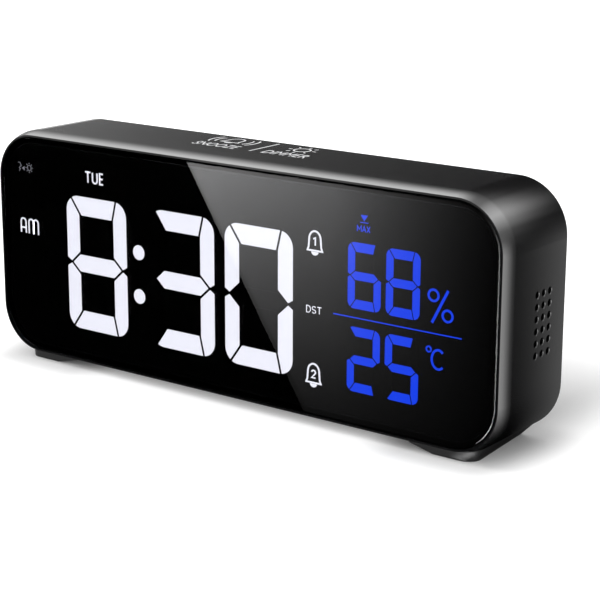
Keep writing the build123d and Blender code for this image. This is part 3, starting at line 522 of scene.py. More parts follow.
class Sign:
    """A flat sign of closed strips and prisms, drawn in millimetres and raised off its face."""

    def __init__(self) -> None:
        """Start with an empty sign."""
        self.points: list[Place] = []
        self.faces: list[list[int]] = []

    def fill(self, outline: Sequence[Point]) -> "Sign":
        """Add a filled outline.

        Args:
            outline: its corners.

        Returns:
            The sign itself.
        """
        base, count = len(self.points), len(outline)
        self.points += [(u, v, height) for u, v in outline for height in (0.0, 1.0)]
        self.faces.append([base + 2 * i + 1 for i in range(count)])
        self.faces.append([base + 2 * i for i in reversed(range(count))])
        for i in range(count):
            here, there = base + 2 * i, base + 2 * ((i + 1) % count)
            self.faces.append([here, there, there + 1, here + 1])
        return self

    def bar(self, low: Point, high: Point) -> "Sign":
        """Add a filled rectangle between its lower left and its upper right corner."""
        return self.fill((low, (high[0], low[1]), high, (low[0], high[1])))

    def stroke(self, line: Sequence[Point], width: float, closed: bool = False) -> "Sign":
        """Add a line of even width with mitred corners.

        Args:
            line: the points that its middle follows.
            width: how wide it is.
            closed: whether its end runs back to its start.

        Returns:
            The sign itself.
        """
        base, count = len(self.points), len(line)
        spots = [Vector(spot) for spot in line]
        for i, spot in enumerate(spots):
            ways = [(spot - spots[i - 1]).normalized()] if i or closed else []
            ways += [(spots[(i + 1) % count] - spot).normalized()] if i < count - 1 or closed else []
            mean = sum(ways, Vector((0.0, 0.0))).normalized()
            side = Vector((-mean.y, mean.x)) * (width / 2 / max(mean.dot(ways[0]), MITRE_LIMIT))
            for edge in (spot + side, spot - side):
                self.points += [(edge.x, edge.y, 0.0), (edge.x, edge.y, 1.0)]
        for i in range(count if closed else count - 1):
            a, b = base + 4 * i, base + 4 * ((i + 1) % count)
            self.faces += [[a + 1, a + 3, b + 3, b + 1], [a, b, b + 2, a + 2]]
            self.faces += [[a, a + 1, b + 1, b], [a + 2, b + 2, b + 3, a + 3]]
        if not closed:
            last = base + 4 * (count - 1)
            self.faces += [[base, base + 2, base + 3, base + 1], [last, last + 1, last + 3, last + 2]]
        return self

    def ring(self, centre: Point, radius: float, width: float) -> "Sign":
        """Add a closed round line about a centre."""
        return self.stroke(arc(centre, (radius, radius), 0, 360, RING_STEPS)[:-1], width, closed=True)

    def word(self, text: str, low: Point, high: Point) -> "Sign":
        """Add a word that fills a box.

        Args:
            text: the letters.
            low: lower left corner of the box.
            high: upper right corner of the box.

        Returns:
            The sign itself.
        """
        curve = bpy.data.curves.new("letters", "FONT")
        curve.body = text
        curve.resolution_u = LETTER_STEPS
        curve.extrude = LETTER_DEPTH
        holder = bpy.data.objects.new("letters", curve)
        mesh = bpy.data.meshes.new_from_object(holder)
        spots = [vertex.co for vertex in mesh.vertices]
        least = [min(spot[i] for spot in spots) for i in (0, 1)]
        most = [max(spot[i] for spot in spots) for i in (0, 1)]
        scale = [(high[i] - low[i]) / (most[i] - least[i]) for i in (0, 1)]
        base = len(self.points)
        for spot in spots:
            u, v = (low[i] + (spot[i] - least[i]) * scale[i] for i in (0, 1))
            self.points.append((u, v, 1.0 if spot.z > 0 else 0.0))
        self.faces += [[base + i for i in polygon.vertices] for polygon in mesh.polygons]
        bpy.data.objects.remove(holder)
        bpy.data.curves.remove(curve)
        bpy.data.meshes.remove(mesh)
        return self

    def letters(self, text: str, low: Point, height: float, widths: Sequence[float], line: float) -> "Sign":
        """Add letters of even strokes, side by side.

        Args:
            text: the letters, each one of those in STROKE_LETTERS.
            low: lower left corner of the first letter.
            height: how tall they are.
            widths: the width of each letter, with the gap after it in between.
            line: width of their strokes.

        Returns:
            The sign itself.
        """
        left = low[0]
        for letter, width, gap in zip(text, widths[::2], [*widths[1::2], 0.0]):
            for run in STROKE_LETTERS[letter]:
                spots = [
                    (left + line / 2 + u * (width - line), low[1] + line / 2 + v * (height - line))
                    for u, v in run
                ]
                self.stroke(spots, line)
            left += width + gap
        return self

    def build(self, name: str, placing: Placing, thickness: float, finish: Finish, slot: str) -> Piece:
        """Make the sign as a thin piece on the case.

        Args:
            name: name of the piece.
            placing: puts a point of the sign and its height off the face into the shared frame.
            thickness: how far it stands off its face, in millimetres.
            finish: what it is made of.
            slot: the name of a material slot; not used.

        Returns:
            The new object.
        """
        mesh = bpy.data.meshes.new(name)
        mesh.from_pydata([placing(u, v, height * thickness) for u, v, height in self.points], [], self.faces)
        shape = bmesh.new()
        shape.from_mesh(mesh)
        bmesh.ops.remove_doubles(shape, verts=shape.verts, dist=WELD)
        bmesh.ops.recalc_face_normals(shape, faces=shape.faces)
        shape.to_mesh(mesh)
        shape.free()
        piece = new_object(name, mesh, SHELF.get(finish))
        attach(piece, CASE)
        log.info("made %s with %d faces", name, len(mesh.polygons))
        return piece


def arc(centre: Point, radii: Point, start: float, end: float, steps: int) -> list[Point]:
    """Give points along an oval arc.

    Args:
        centre: its middle.
        radii: half its width and half its height.
        start: first angle in degrees.
        end: last angle in degrees.
        steps: number of runs.

    Returns:
        The points from start to end.
    """
    turns = [math.radians(start + (end - start) * i / steps) for i in range(steps + 1)]
    return [(centre[0] + radii[0] * math.cos(t), centre[1] + radii[1] * math.sin(t)) for t in turns]


# Letters of one stroke width, in a box of 1 by 1
STROKE_LETTERS: dict[str, list[list[Point]]] = {
    "T": [[(0, 1), (1, 1)], [(0.5, 1), (0.5, 0)]],
    "U": [[(0, 1), *arc((0.5, 0.3), (0.5, 0.3), 180, 360, 12), (1, 1)]],
    "E": [[(1, 1), (0, 1), (0, 0), (1, 0)], [(0, 0.5), (0.9, 0.5)]],
    "D": [[(0, 1), *arc((0.4, 0.5), (0.6, 0.5), 90, -90, 12), (0, 0), (0, 1)]],
    "S": [arc((0.5, 0.74), (0.5, 0.26), 25, 270, 10) + arc((0.5, 0.24), (0.5, 0.24), 90, -155, 10)[1:]],
    "M": [[(0, 0), (0, 1), (0.5, 0.35), (1, 1), (1, 0)]],
    "A": [[(0, 0), (0.5, 1), (1, 0)], [(0.2, 0.33), (0.8, 0.33)]],
    "X": [[(0, 0), (1, 1)], [(0, 1), (1, 0)]],
    "1": [[(0.1, 0.85), (0.6, 1), (0.6, 0)]],
    "2": [arc((0.5, 0.72), (0.5, 0.28), 170, -35, 10) + [(0, 0), (1, 0)]],
}


class Icon(Enum):
    """Generic signs of the display and the top."""

    BELL = "bell"
    RINGING_BELL = "ringing bell"
    SUN = "sun"
    SOUND = "sound"


@dataclass(frozen=True)
class IconForms:
    """The forms of the generic signs: lengths are shares of their height, and angles are in degrees."""

    ringing_width: float = 1.15
    crown_rise: float = 0.14
    crown_radii: Point = (0.28, 0.33)
    crown_steps: int = 16
    rim: tuple[Point, ...] = ((0.36, -0.31), (0.305, -0.17))
    clapper_rise: float = -0.36
    clapper_radii: Point = (0.17, 0.14)
    clapper_steps: int = 10
    wave_radii: Point = (0.76, 1.02)
    wave_middles: Point = (180.0, 0.0)
    wave_half: float = 30.0
    wave_steps: int = 8
    disc: float = 0.26
    rays: int = 8
    ray_ends: Point = (0.37, 0.5)
    face: tuple[Point, ...] = (
        (-0.62, 0.5), (-0.3, 0.5), (-0.1, 0.14), (-0.46, -0.14), (-0.26, -0.26), (-0.44, -0.5)
    )
    cone: tuple[Point, ...] = ((0.0, -0.12), (0.42, -0.38), (0.42, 0.12))

    def draw(self, sign: Sign, icon: Icon, centre: Point, size: float, line: float) -> Sign:
        """Draw a generic sign.

        Args:
            sign: what it is added to.
            icon: which sign.
            centre: its middle.
            size: its height.
            line: width of its strokes.

        Returns:
            The sign that it was added to.
        """
        x, y = centre
        if icon is Icon.SUN:
            sign.ring(centre, self.disc * size, line)
            for i in range(self.rays):
                turn = 2 * math.pi * i / self.rays
                ends = [end * size for end in self.ray_ends]
                sign.stroke([(x + end * math.cos(turn), y + end * math.sin(turn)) for end in ends], line)
        elif icon is Icon.SOUND:
            sign.stroke([(x + u * size, y + v * size) for u, v in self.face], line)
            sign.fill([(x + u * size, y + v * size) for u, v in self.cone])
        elif icon is Icon.BELL:
            self.bell(sign, centre, (size, size), line)
        else:
            self.bell(sign, centre, (self.ringing_width * size, size), line)
            for middle in self.wave_middles:
                for radius in self.wave_radii:
                    radii = (radius * size, radius * size)
                    start, end = middle - self.wave_half, middle + self.wave_half
                    sign.stroke(arc(centre, radii, start, end, self.wave_steps), line)
        return sign

    def bell(self, sign: Sign, centre: Point, size: Point, line: float) -> None:
        """Draw a bell with its clapper.

        Args:
            sign: what it is added to.
            centre: its middle.
            size: the lengths that its shares across and upward are taken of.
            line: width of its strokes.
        """
        x, y = centre
        wide, tall = size
        radii = (self.crown_radii[0] * wide, self.crown_radii[1] * tall)
        crown = arc((x, y + self.crown_rise * tall), radii, 0, 180, self.crown_steps)
        right = [(x + u * wide, y + v * tall) for u, v in self.rim]
        left = [(2 * x - u, v) for u, v in reversed(right)]
        sign.stroke(right + crown + left, line, closed=True)
        radii = (self.clapper_radii[0] * wide, self.clapper_radii[1] * tall)
        sign.fill(arc((x, y + self.clapper_rise * tall), radii, 180, 360, self.clapper_steps))


ICONS = IconForms()


# Sub-assemblies


@dataclass
class CadFinishes:
    """The CAD pieces, dressed in the finishes of the real ones."""

    def dress(self) -> None:
        """Give every CAD node its material."""
        for finish, nodes in NODE_FINISHES.items():
            material = SHELF.get(finish)
            for name in nodes:
                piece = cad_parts[name]
                if not piece.material_slots:
                    piece.data.materials.append(material)
                for entry in piece.material_slots:
                    entry.link = "OBJECT"
                    entry.material = material
                log.info("dressed %s in %s", name, finish.name)


@dataclass
class DisplaySigns:
    """The lit signs of the display: windows in the mask film just behind the lens.

    Widths and places are in millimetres on the face of the display, X to the right and Z up.
    """

    film: float = 0.12
    white_line: float = 0.47
    bell_line: float = 0.5
    numeral_line: float = 0.42
    blue_line: float = 0.62
    slash_line: float = 0.75
    degree_line: float = 0.42
    fine_line: float = 0.22
    faint_line: float = 0.17
    half_day_base: float = 39.5
    half_day_top: float = 44.2
    half_day_bar: float = 1.6
    arches: tuple[Point, ...] = ((-81.75, 2.1), (-78.4, 2.0), (-76.4, 2.0))
    arch_steps: int = 12
    day_corner: Point = (-54.3, 58.1)
    day_height: float = 3.6
    day_widths: tuple[float, ...] = (2.5, 0.4, 2.3, 0.55, 1.75)
    summer_corner: Point = (27.5, 32.2)
    summer_height: float = 2.1
    summer_widths: tuple[float, ...] = (1.55, 0.35, 1.4, 0.35, 1.55)
    alarm_one: Point = (30.3, 51.9)
    alarm_two: Point = (30.1, 14.7)
    bell_size: float = 6.9
    numeral_width: float = 1.7
    numeral_height: float = 2.55
    numeral_drop: float = 0.95
    sound_place: Point = (-80.55, 59.9)
    sound_size: float = 2.6
    sun_place: Point = (-77.4, 59.9)
    sun_size: float = 3.1
    percent_rings: tuple[Point, ...] = ((68.3, 43.5), (72.7, 38.6))
    percent_radius: float = 1.5
    percent_slash: tuple[Point, ...] = ((72.7, 45.3), (68.0, 36.2))
    degree_place: Point = (67.2, 28.9)
    degree_radius: float = 0.72
    celsius_place: Point = (70.2, 26.5)
    celsius_radii: Point = (2.0, 2.6)
    celsius_mouth: float = 48.0
    celsius_steps: int = 22
    divider_low: Point = (36.6, 33.2)
    divider_high: Point = (77.1, 33.5)
    highest_corner: Point = (44.0, 57.0)
    highest_height: float = 1.8
    highest_widths: tuple[float, ...] = (1.5, 0.15, 1.3, 0.15, 1.2)
    arrow: tuple[Point, ...] = ((45.2, 61.6), (46.3, 60.0), (47.4, 61.6))
    arrow_bar_low: Point = (45.1, 59.5)
    arrow_bar_high: Point = (47.6, 59.72)

    def place(self, x: float, z: float, height: float) -> Vector:
        """Put a point of a sign on the face of the display."""
        return Vector((x * MM, DISPLAY_FACE - height * MM, z * MM))

    def build(self) -> list[Piece]:
        """Make all the signs of the display.

        Returns:
            The new objects.
        """
        white, blue = (WHITE_PC, "white_light"), (BLUE_PC, "blue_light")
        day = Sign().letters("TUE", self.day_corner, self.day_height, self.day_widths, self.white_line)
        summer = Sign().letters(
            "DST", self.summer_corner, self.summer_height, self.summer_widths, self.fine_line
        )
        signs = {
            "half_day_sign": (self.half_day(), *white),
            "day_sign": (day, *white),
            "summer_time_sign": (summer, *white),
            "alarm_one_sign": (self.alarm("1", self.alarm_one), *white),
            "alarm_two_sign": (self.alarm("2", self.alarm_two), *white),
            "sound_sign": (self.sound_light(), DIM_WHITE_PC, "white_light"),
            "percent_sign": (self.percent(), *blue),
            "celsius_sign": (self.celsius(), *blue),
            "divider_line": (Sign().bar(self.divider_low, self.divider_high), *blue),
            "highest_sign": (self.highest(), *blue),
        }
        return [
            sign.build(name, self.place, self.film, finish, slot)
            for name, (sign, finish, slot) in signs.items()
        ]

    def half_day(self) -> Sign:
        """Draw the letters for the half of the day, with round arches.

        Returns:
            The sign.
        """
        sign = Sign()
        low, line = self.half_day_base, self.white_line
        top = self.half_day_top - line / 2
        for left, width in self.arches:
            radius = width / 2
            crown = arc((left + radius, top - radius), (radius, radius), 0, 180, self.arch_steps)
            sign.stroke([(left + width, low), *crown, (left, low)], line)
        left, width = self.arches[0]
        level = low + self.half_day_bar
        return sign.stroke([(left, level), (left + width, level)], line)

    def alarm(self, numeral: str, centre: Point) -> Sign:
        """Draw a bell with the number of its alarm.

        Args:
            numeral: the number.
            centre: middle of the bell.

        Returns:
            The sign.
        """
        sign = ICONS.draw(Sign(), Icon.BELL, centre, self.bell_size, self.bell_line)
        corner = (centre[0] - self.numeral_width / 2, centre[1] - self.numeral_drop)
        return sign.letters(numeral, corner, self.numeral_height, (self.numeral_width,), self.numeral_line)

    def sound_light(self) -> Sign:
        """Draw the sign for lighting up at a sound."""
        sign = ICONS.draw(Sign(), Icon.SOUND, self.sound_place, self.sound_size, self.faint_line)
        return ICONS.draw(sign, Icon.SUN, self.sun_place, self.sun_size, self.faint_line)

    def percent(self) -> Sign:
        """Draw the sign of the humidity.

        Returns:
            The sign.
        """
        sign = Sign()
        for centre in self.percent_rings:
            sign.ring(centre, self.percent_radius, self.blue_line)
        return sign.stroke(self.percent_slash, self.slash_line)

    def celsius(self) -> Sign:
        """Draw the sign of the temperature.

        Returns:
            The sign.
        """
        start, end = self.celsius_mouth, 360 - self.celsius_mouth
        letter = arc(self.celsius_place, self.celsius_radii, start, end, self.celsius_steps)
        sign = Sign().ring(self.degree_place, self.degree_radius, self.degree_line)
        return sign.stroke(letter, self.blue_line)

    def highest(self) -> Sign:
        """Draw the sign of the highest reading.

        Returns:
            The sign.
        """
        sign = Sign()
        sign.letters("MAX", self.highest_corner, self.highest_height, self.highest_widths, self.fine_line)
        sign.fill(self.arrow)
        return sign.bar(self.arrow_bar_low, self.arrow_bar_high)


@dataclass
class TopPrint:
    """The print on the top wall, which marks the two touch zones. It reads from the front.

    Sizes and places are in millimetres, X to the right and the depth behind the front plane.
    """

    ink: float = 0.01
    line: float = 0.55
    snooze_low: Point = (-24.4, 14.3)
    snooze_high: Point = (-8.7, 18.7)
    bell_place: Point = (-16.5, 24.7)
    bell_size: float = 7.6
    divider_low: Point = (-3.4, 14.7)
    divider_high: Point = (-2.8, 28.8)
    dimmer_low: Point = (0.9, 14.6)
    dimmer_high: Point = (16.1, 19.0)
    sun_place: Point = (8.3, 24.6)
    sun_size: float = 9.4

    def place(self, x: float, depth: float, height: float) -> Vector:
        """Put a point of the print on the top wall, by its depth behind the front plane."""
        return Vector((x * MM, FRONT_FACE + depth * MM, TOP_FACE + height * MM))

    def build(self) -> list[Piece]:
        """Make the print of both touch zones and the line between them.

        Returns:
            The new objects.
        """
        snooze = Sign().word("SNOOZE", self.snooze_low, self.snooze_high)
        dimmer = Sign().word("DIMMER", self.dimmer_low, self.dimmer_high)
        signs = {
            "snooze_print": ICONS.draw(snooze, Icon.RINGING_BELL, self.bell_place, self.bell_size, self.line),
            "zone_divider_print": Sign().bar(self.divider_low, self.divider_high),
            "dimmer_print": ICONS.draw(dimmer, Icon.SUN, self.sun_place, self.sun_size, self.line),
        }
        return [sign.build(name, self.place, self.ink, WHITE_INK, PRINT_SLOT) for name, sign in signs.items()]


@dataclass
class RearPrint:
    """The print on the rear cover: plain words and signs for the keys. It reads from behind.

    Sizes are in millimetres.
    """

    ink: float = 0.01
    rise: float = 4.6
    height: float = 1.9
    letter: float = 1.45
    bar_share: float = 0.15

    def place(self, right: float, z: float, height: float) -> Vector:
        """Put a point of the print on the rear cover, with its right side at low X."""
        return Vector((-right * MM, REAR_FACE + height * MM, z * MM))

    def build(self) -> list[Piece]:
        """Make the name of each key.

        Returns:
            The new objects.
        """
        pieces = []
        for name, word in KEY_WORDS.items():
            low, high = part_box(f"{name}_key")
            middle = -(low[0] + high[0]) / 2 / MM
            base = (low[2] + high[2]) / 2 / MM + self.rise
            half = len(word) * self.letter / 2
            if len(word) > 1:
                sign = Sign().word(word, (middle - half, base), (middle + half, base + self.height))
            else:
                sign = self.mark(word, middle, base + self.height / 2)
            pieces.append(sign.build(f"{name}_print", self.place, self.ink, WHITE_INK, PRINT_SLOT))
        return pieces

    def mark(self, word: str, middle: float, level: float) -> Sign:
        """Draw a minus, or a plus as a minus with an arm above and below.

        Args:
            word: "-" or "+".
            middle: its middle across.
            level: its middle in height.

        Returns:
            The sign.
        """
        bar, reach = self.height * self.bar_share, self.height / 2
        sign = Sign().bar((middle - reach, level - bar), (middle + reach, level + bar))
        if word == "+":
            sign.bar((middle - bar, level - reach), (middle + bar, level - bar))
            sign.bar((middle - bar, level + bar), (middle + bar, level + reach))
        return sign


# Studio


@dataclass
class Camera:
    """The camera of the photograph, in millimetres of the shared frame. The clips are in metres."""

    place: Place = (303.18, -383.93, 158.37)
    right: Place = (0.79861, 0.60184, 0.00362)
    up: Place = (-0.15771, 0.20346, 0.96630)
    forward: Place = (-0.58082, 0.77226, -0.25740)
    lens: float = 105.29
    sensor: float = 36.0
    clips: Point = (0.01, 50.0)

    def build(self) -> Piece:
        """Make the camera and give it to the scene.

        Returns:
            The camera object.
        """
        data = bpy.data.cameras.new("camera")
        data.lens = self.lens
        data.sensor_width = self.sensor
        data.clip_start, data.clip_end = self.clips
        camera = bpy.data.objects.new("camera", data)
        bpy.context.scene.collection.objects.link(camera)
        axes = Matrix((self.right, self.up, [-c for c in self.forward])).transposed()
        camera.matrix_world = Matrix.Translation(Vector(self.place) * MM) @ axes.to_4x4()
        bpy.context.scene.camera = camera
        return camera


@dataclass(frozen=True)
class Softbox:
    """A studio lamp with a wide, even face. Gloss doesn't show it, since the cards light the gloss."""

    name: str
    place: Place
    aim: Place
    size: Point
    power: float

    def build(self) -> Piece:
        """Make the lamp, turned to what it lights.

        Returns:
            The lamp object.
        """
        data = bpy.data.lights.new(self.name, "AREA")
        data.shape = "RECTANGLE"
        data.size, data.size_y = self.size
        data.energy = self.power
        lamp = bpy.data.objects.new(self.name, data)
        bpy.context.scene.collection.objects.link(lamp)
        lamp.visible_glossy = False
        lamp.location = self.place
        lamp.rotation_euler = (Vector(self.aim) - Vector(self.place)).to_track_quat("-Z", "Y").to_euler()
        return lamp


def tone_light(tone: float) -> float:
    """Give the linear light of a grey tone from 0 to 255."""
    return share_light(max(tone, 0.0) / FULL_TONE)


@dataclass
class MirrorCards:
    """Graded cards that only the gloss of the clock shows, laid where the camera sees them mirrored.

    Lengths are in metres and angles in degrees. Tones are what the eye sees of a card in the gloss, from
    0 to 255. The card of the lens and its wedge of light are in millimetres, and the fades per millimetre.
    """

    # How the cards are laid, and how much of them each material mirrors straight on
    level: float = 0.0004
    nearest: float = 0.002
    reach: float = 0.3
    near_reach: float = 0.12
    steps: int = 24
    corner_steps: int = 10
    own_light: float = 0.004
    shell_gloss: float = 0.0452
    lens_gloss: float = 0.0604
    chamfer_gloss: float = 0.0387
    # What the lens shows
    lens_margin: float = 0.015
    card_left: float = -140.0
    card_right: float = 120.0
    wedge_foot: float = 27.8
    wedge_lean: float = 0.635
    wedge_edge: float = 0.02
    wedge_tone: float = 17.5
    wedge_rise: float = 1.15
    wedge_middle: float = 36.0
    left_fade: float = 0.008
    right_fade: float = 0.0182
    # The form of the shell, and what it shows on its rolled edge, its top and its side
    roll_radius: float = 9.0 * MM
    roll_depth: float = 4.4 * MM
    roll_turn: float = 37.0
    corner: float = 15.0 * MM
    underside: float = 1.8 * MM
    flat_reach: float = 0.1
    left_reach: float = 0.105
    top_peak: float = 190.0
    side_peak: float = 145.0
    top_left_tone: float = 92.0
    top_right_tone: float = 28.0
    top_end: float = 72.0 * MM
    top_run: float = 147.0 * MM
    top_limit: float = 1.2
    side_tone: float = 14.0
    side_rise: float = 2.2 / MM
    side_run: float = 30.0 * MM
    side_turn: float = 30.0
    under_turn: float = 40.0
    deep: float = 18.0 * MM
    blob_depth: float = 26.0 * MM
    dip: float = 0.5
    # What the chamfer of the lens shows
    chamfer_turn: float = 45.0
    chamfer_spread: float = 12.0
    chamfer_inset: float = 2.1 * MM
    chamfer_depth: float = 0.2 * MM
    chamfer_tone: float = 120.0
    chamfer_rise: float = 100.0
    chamfer_end: float = 95.0
    chamfer_fade: float = 20.0
    chamfer_stop: float = 60.0

    def mirror(self, spot: Vector, normal: Vector, gloss: float, light: float, limit: float) -> CardPoint:
        """Find the point of a card that the camera sees in a point of the clock.

        Args:
            spot: the point of the clock.
            normal: its outward direction.
            gloss: the share of light that its material mirrors straight on.
            light: what it shall show.
            limit: how far away the card is, unless the floor is nearer.

        Returns:
            The point of the card and its light.
        """
        way = (spot - Vector(Camera.place) * MM).normalized()
        slope = -way.dot(normal)
        share = gloss + (1 - gloss) * (1 - slope) ** 5
        out = way + 2 * slope * normal
        reach = min(limit, (spot.z - self.level) / -out.z) if out.z < 0 else limit
        return spot + out * max(reach, self.nearest), light / share

    def normal(self, angle: float, turn: float) -> Vector:
        """Give an outward direction of the clock.

        Args:
            angle: its angle in the outline, 90 on the top and 0 on the right side.
            turn: how far it is turned to the front from there.

        Returns:
            The direction, of length 1.
        """
        around, bend = math.radians(angle), math.radians(turn)
        flat = math.cos(bend)
        return Vector((math.cos(around) * flat, -math.sin(bend), math.sin(around) * flat))

    def lens_rows(self) -> list[list[CardPoint]]:
        """Give a card that shows in the lens as black and, right of a slanting edge, as a fading grey.

        Returns:
            Rows of points with their light.
        """
        low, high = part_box("front_lens")
        tall = (high[2] - low[2]) / MM
        ahead = Vector((0.0, -1.0, 0.0))
        rows = []
        for j in range(self.steps + 1):
            v = tall * ((1 + 2 * self.lens_margin) * j / self.steps - self.lens_margin)
            edge = self.wedge_foot - self.wedge_lean * v
            run = [(self.card_left, 0.0), (edge - self.wedge_edge, 0.0)]
            for i in range(self.steps + 1):
                x = edge + (self.card_right - edge) * i / self.steps
                past = x - self.wedge_middle
                fade = max(1.0 - past * (self.left_fade if past < 0 else self.right_fade), 0.0)
                run.append((x, (self.wedge_tone + self.wedge_rise * v) * fade))
            row = []
            for x, tone in run:
                spot = Vector((x * MM, low[1], low[2] + v * MM))
                row.append(self.mirror(spot, ahead, self.lens_gloss, tone_light(tone), self.reach))
            rows.append(row)
        return rows

    def outline(self, inset: float) -> list[Place]:
        """Give points along the outline of the shell, from the top left round to the lower right.

        Args:
            inset: how far inside the outline they lie.

        Returns:
            X, Z and the outward angle of each point.
        """
        right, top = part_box("housing")[1][0], TOP_FACE
        centre, radius = right - self.corner, self.corner - inset
        run = self.left_reach + centre
        points = [(run * i / self.steps - self.left_reach, top - inset, 90.0) for i in range(self.steps)]
        for high, start, end in ((top - self.corner, 90.0, 0.0), (self.underside + self.corner, 0.0, -90.0)):
            for i in range(self.corner_steps + 1):
                angle = start + (end - start) * i / self.corner_steps
                turn = math.radians(angle)
                points.append((centre + radius * math.cos(turn), high + radius * math.sin(turn), angle))
        return points

    def shell_rows(self) -> list[list[CardPoint]]:
        """Give a card that shows in the shell: bright in the rolled edge, dim on the top and the side.

        Returns:
            Rows of points with their light.
        """
        profile = []
        for i in range(self.corner_steps + 1):
            turn = self.roll_turn * (1 - i / self.corner_steps)
            profile.append((turn, self.roll_depth - self.roll_radius * math.sin(math.radians(turn))))
        flat = (self.flat_reach - self.roll_depth) / self.steps
        profile += [(0.0, self.roll_depth + flat * (i + 1)) for i in range(self.steps)]
        rows = []
        for x, z, angle in self.outline(0.0):
            facing = self.normal(angle, 0.0)
            row = []
            for turn, depth in profile:
                drop = self.roll_radius * (1 - math.cos(math.radians(turn)))
                spot = Vector((x, FRONT_FACE + depth, z)) - facing * drop
                light = max(tone_light(self.shell_tone(x, angle, depth)) - self.own_light, 0.0)
                row.append(
                    self.mirror(spot, self.normal(angle, turn), self.shell_gloss, light, self.near_reach)
                )
            rows.append(row)
        return rows

    def shell_tone(self, x: float, angle: float, depth: float) -> float:
        """Give the tone that the shell shows.

        Args:
            x: how far right the point lies.
            angle: outward angle of the outline there, 90 on the top and 0 on the right side.
            depth: how far it lies behind the front plane.

        Returns:
            The tone.
        """
        across = min(max((self.top_end - x) / self.top_run, 0.0), self.top_limit)
        top = self.top_right_tone + (self.top_left_tone - self.top_right_tone) * across
        rise = self.side_rise * max(1 - max(angle, 0.0) / self.side_turn, 0.0)
        side = self.side_tone + rise * min(max(depth - self.roll_depth, 0.0), self.side_run)
        share = min(max(angle / 90, 0.0), 1.0)
        under = min(max(1 + angle / self.under_turn, 0.0), 1.0)
        lit = under + (1 - under) * min(depth / self.deep, 1.0)
        flat = (side + (top - side) * share) * lit
        around = math.radians(max(angle, 0.0))
        peak = (self.side_peak + (self.top_peak - self.side_peak) * share) * under
        peak *= 1 - self.dip * math.sin(4 * around) ** 2
        reach = self.roll_depth + self.blob_depth * math.sin(2 * around) ** 4
        return flat + max(peak - flat, 0.0) * min(max(1 - depth / reach, 0.0), 1.0)

    def chamfer_rows(self) -> list[list[CardPoint]]:
        """Give a card that shows in the chamfer of the lens as a line, brightest at the lower right corner.

        Returns:
            Rows of points with their light.
        """
        middle, spread = self.chamfer_turn, self.chamfer_spread
        rows = []
        for x, z, angle in self.outline(self.chamfer_inset):
            spot = Vector((x, FRONT_FACE + self.chamfer_depth, z))
            under = math.sin(math.radians(min(max(-angle * 2, 0.0), 90.0)))
            tone = self.chamfer_tone + self.chamfer_rise * under
            tone *= min((self.chamfer_end + angle) / self.chamfer_fade, 1.0)
            tone *= max(1 - max(angle, 0.0) / self.chamfer_stop, 0.0)
            row = []
            for turn in (middle - spread, middle, middle + spread):
                normal = self.normal(angle, turn)
                row.append(self.mirror(spot, normal, self.chamfer_gloss, tone_light(tone), self.reach))
            rows.append(row)
        return rows


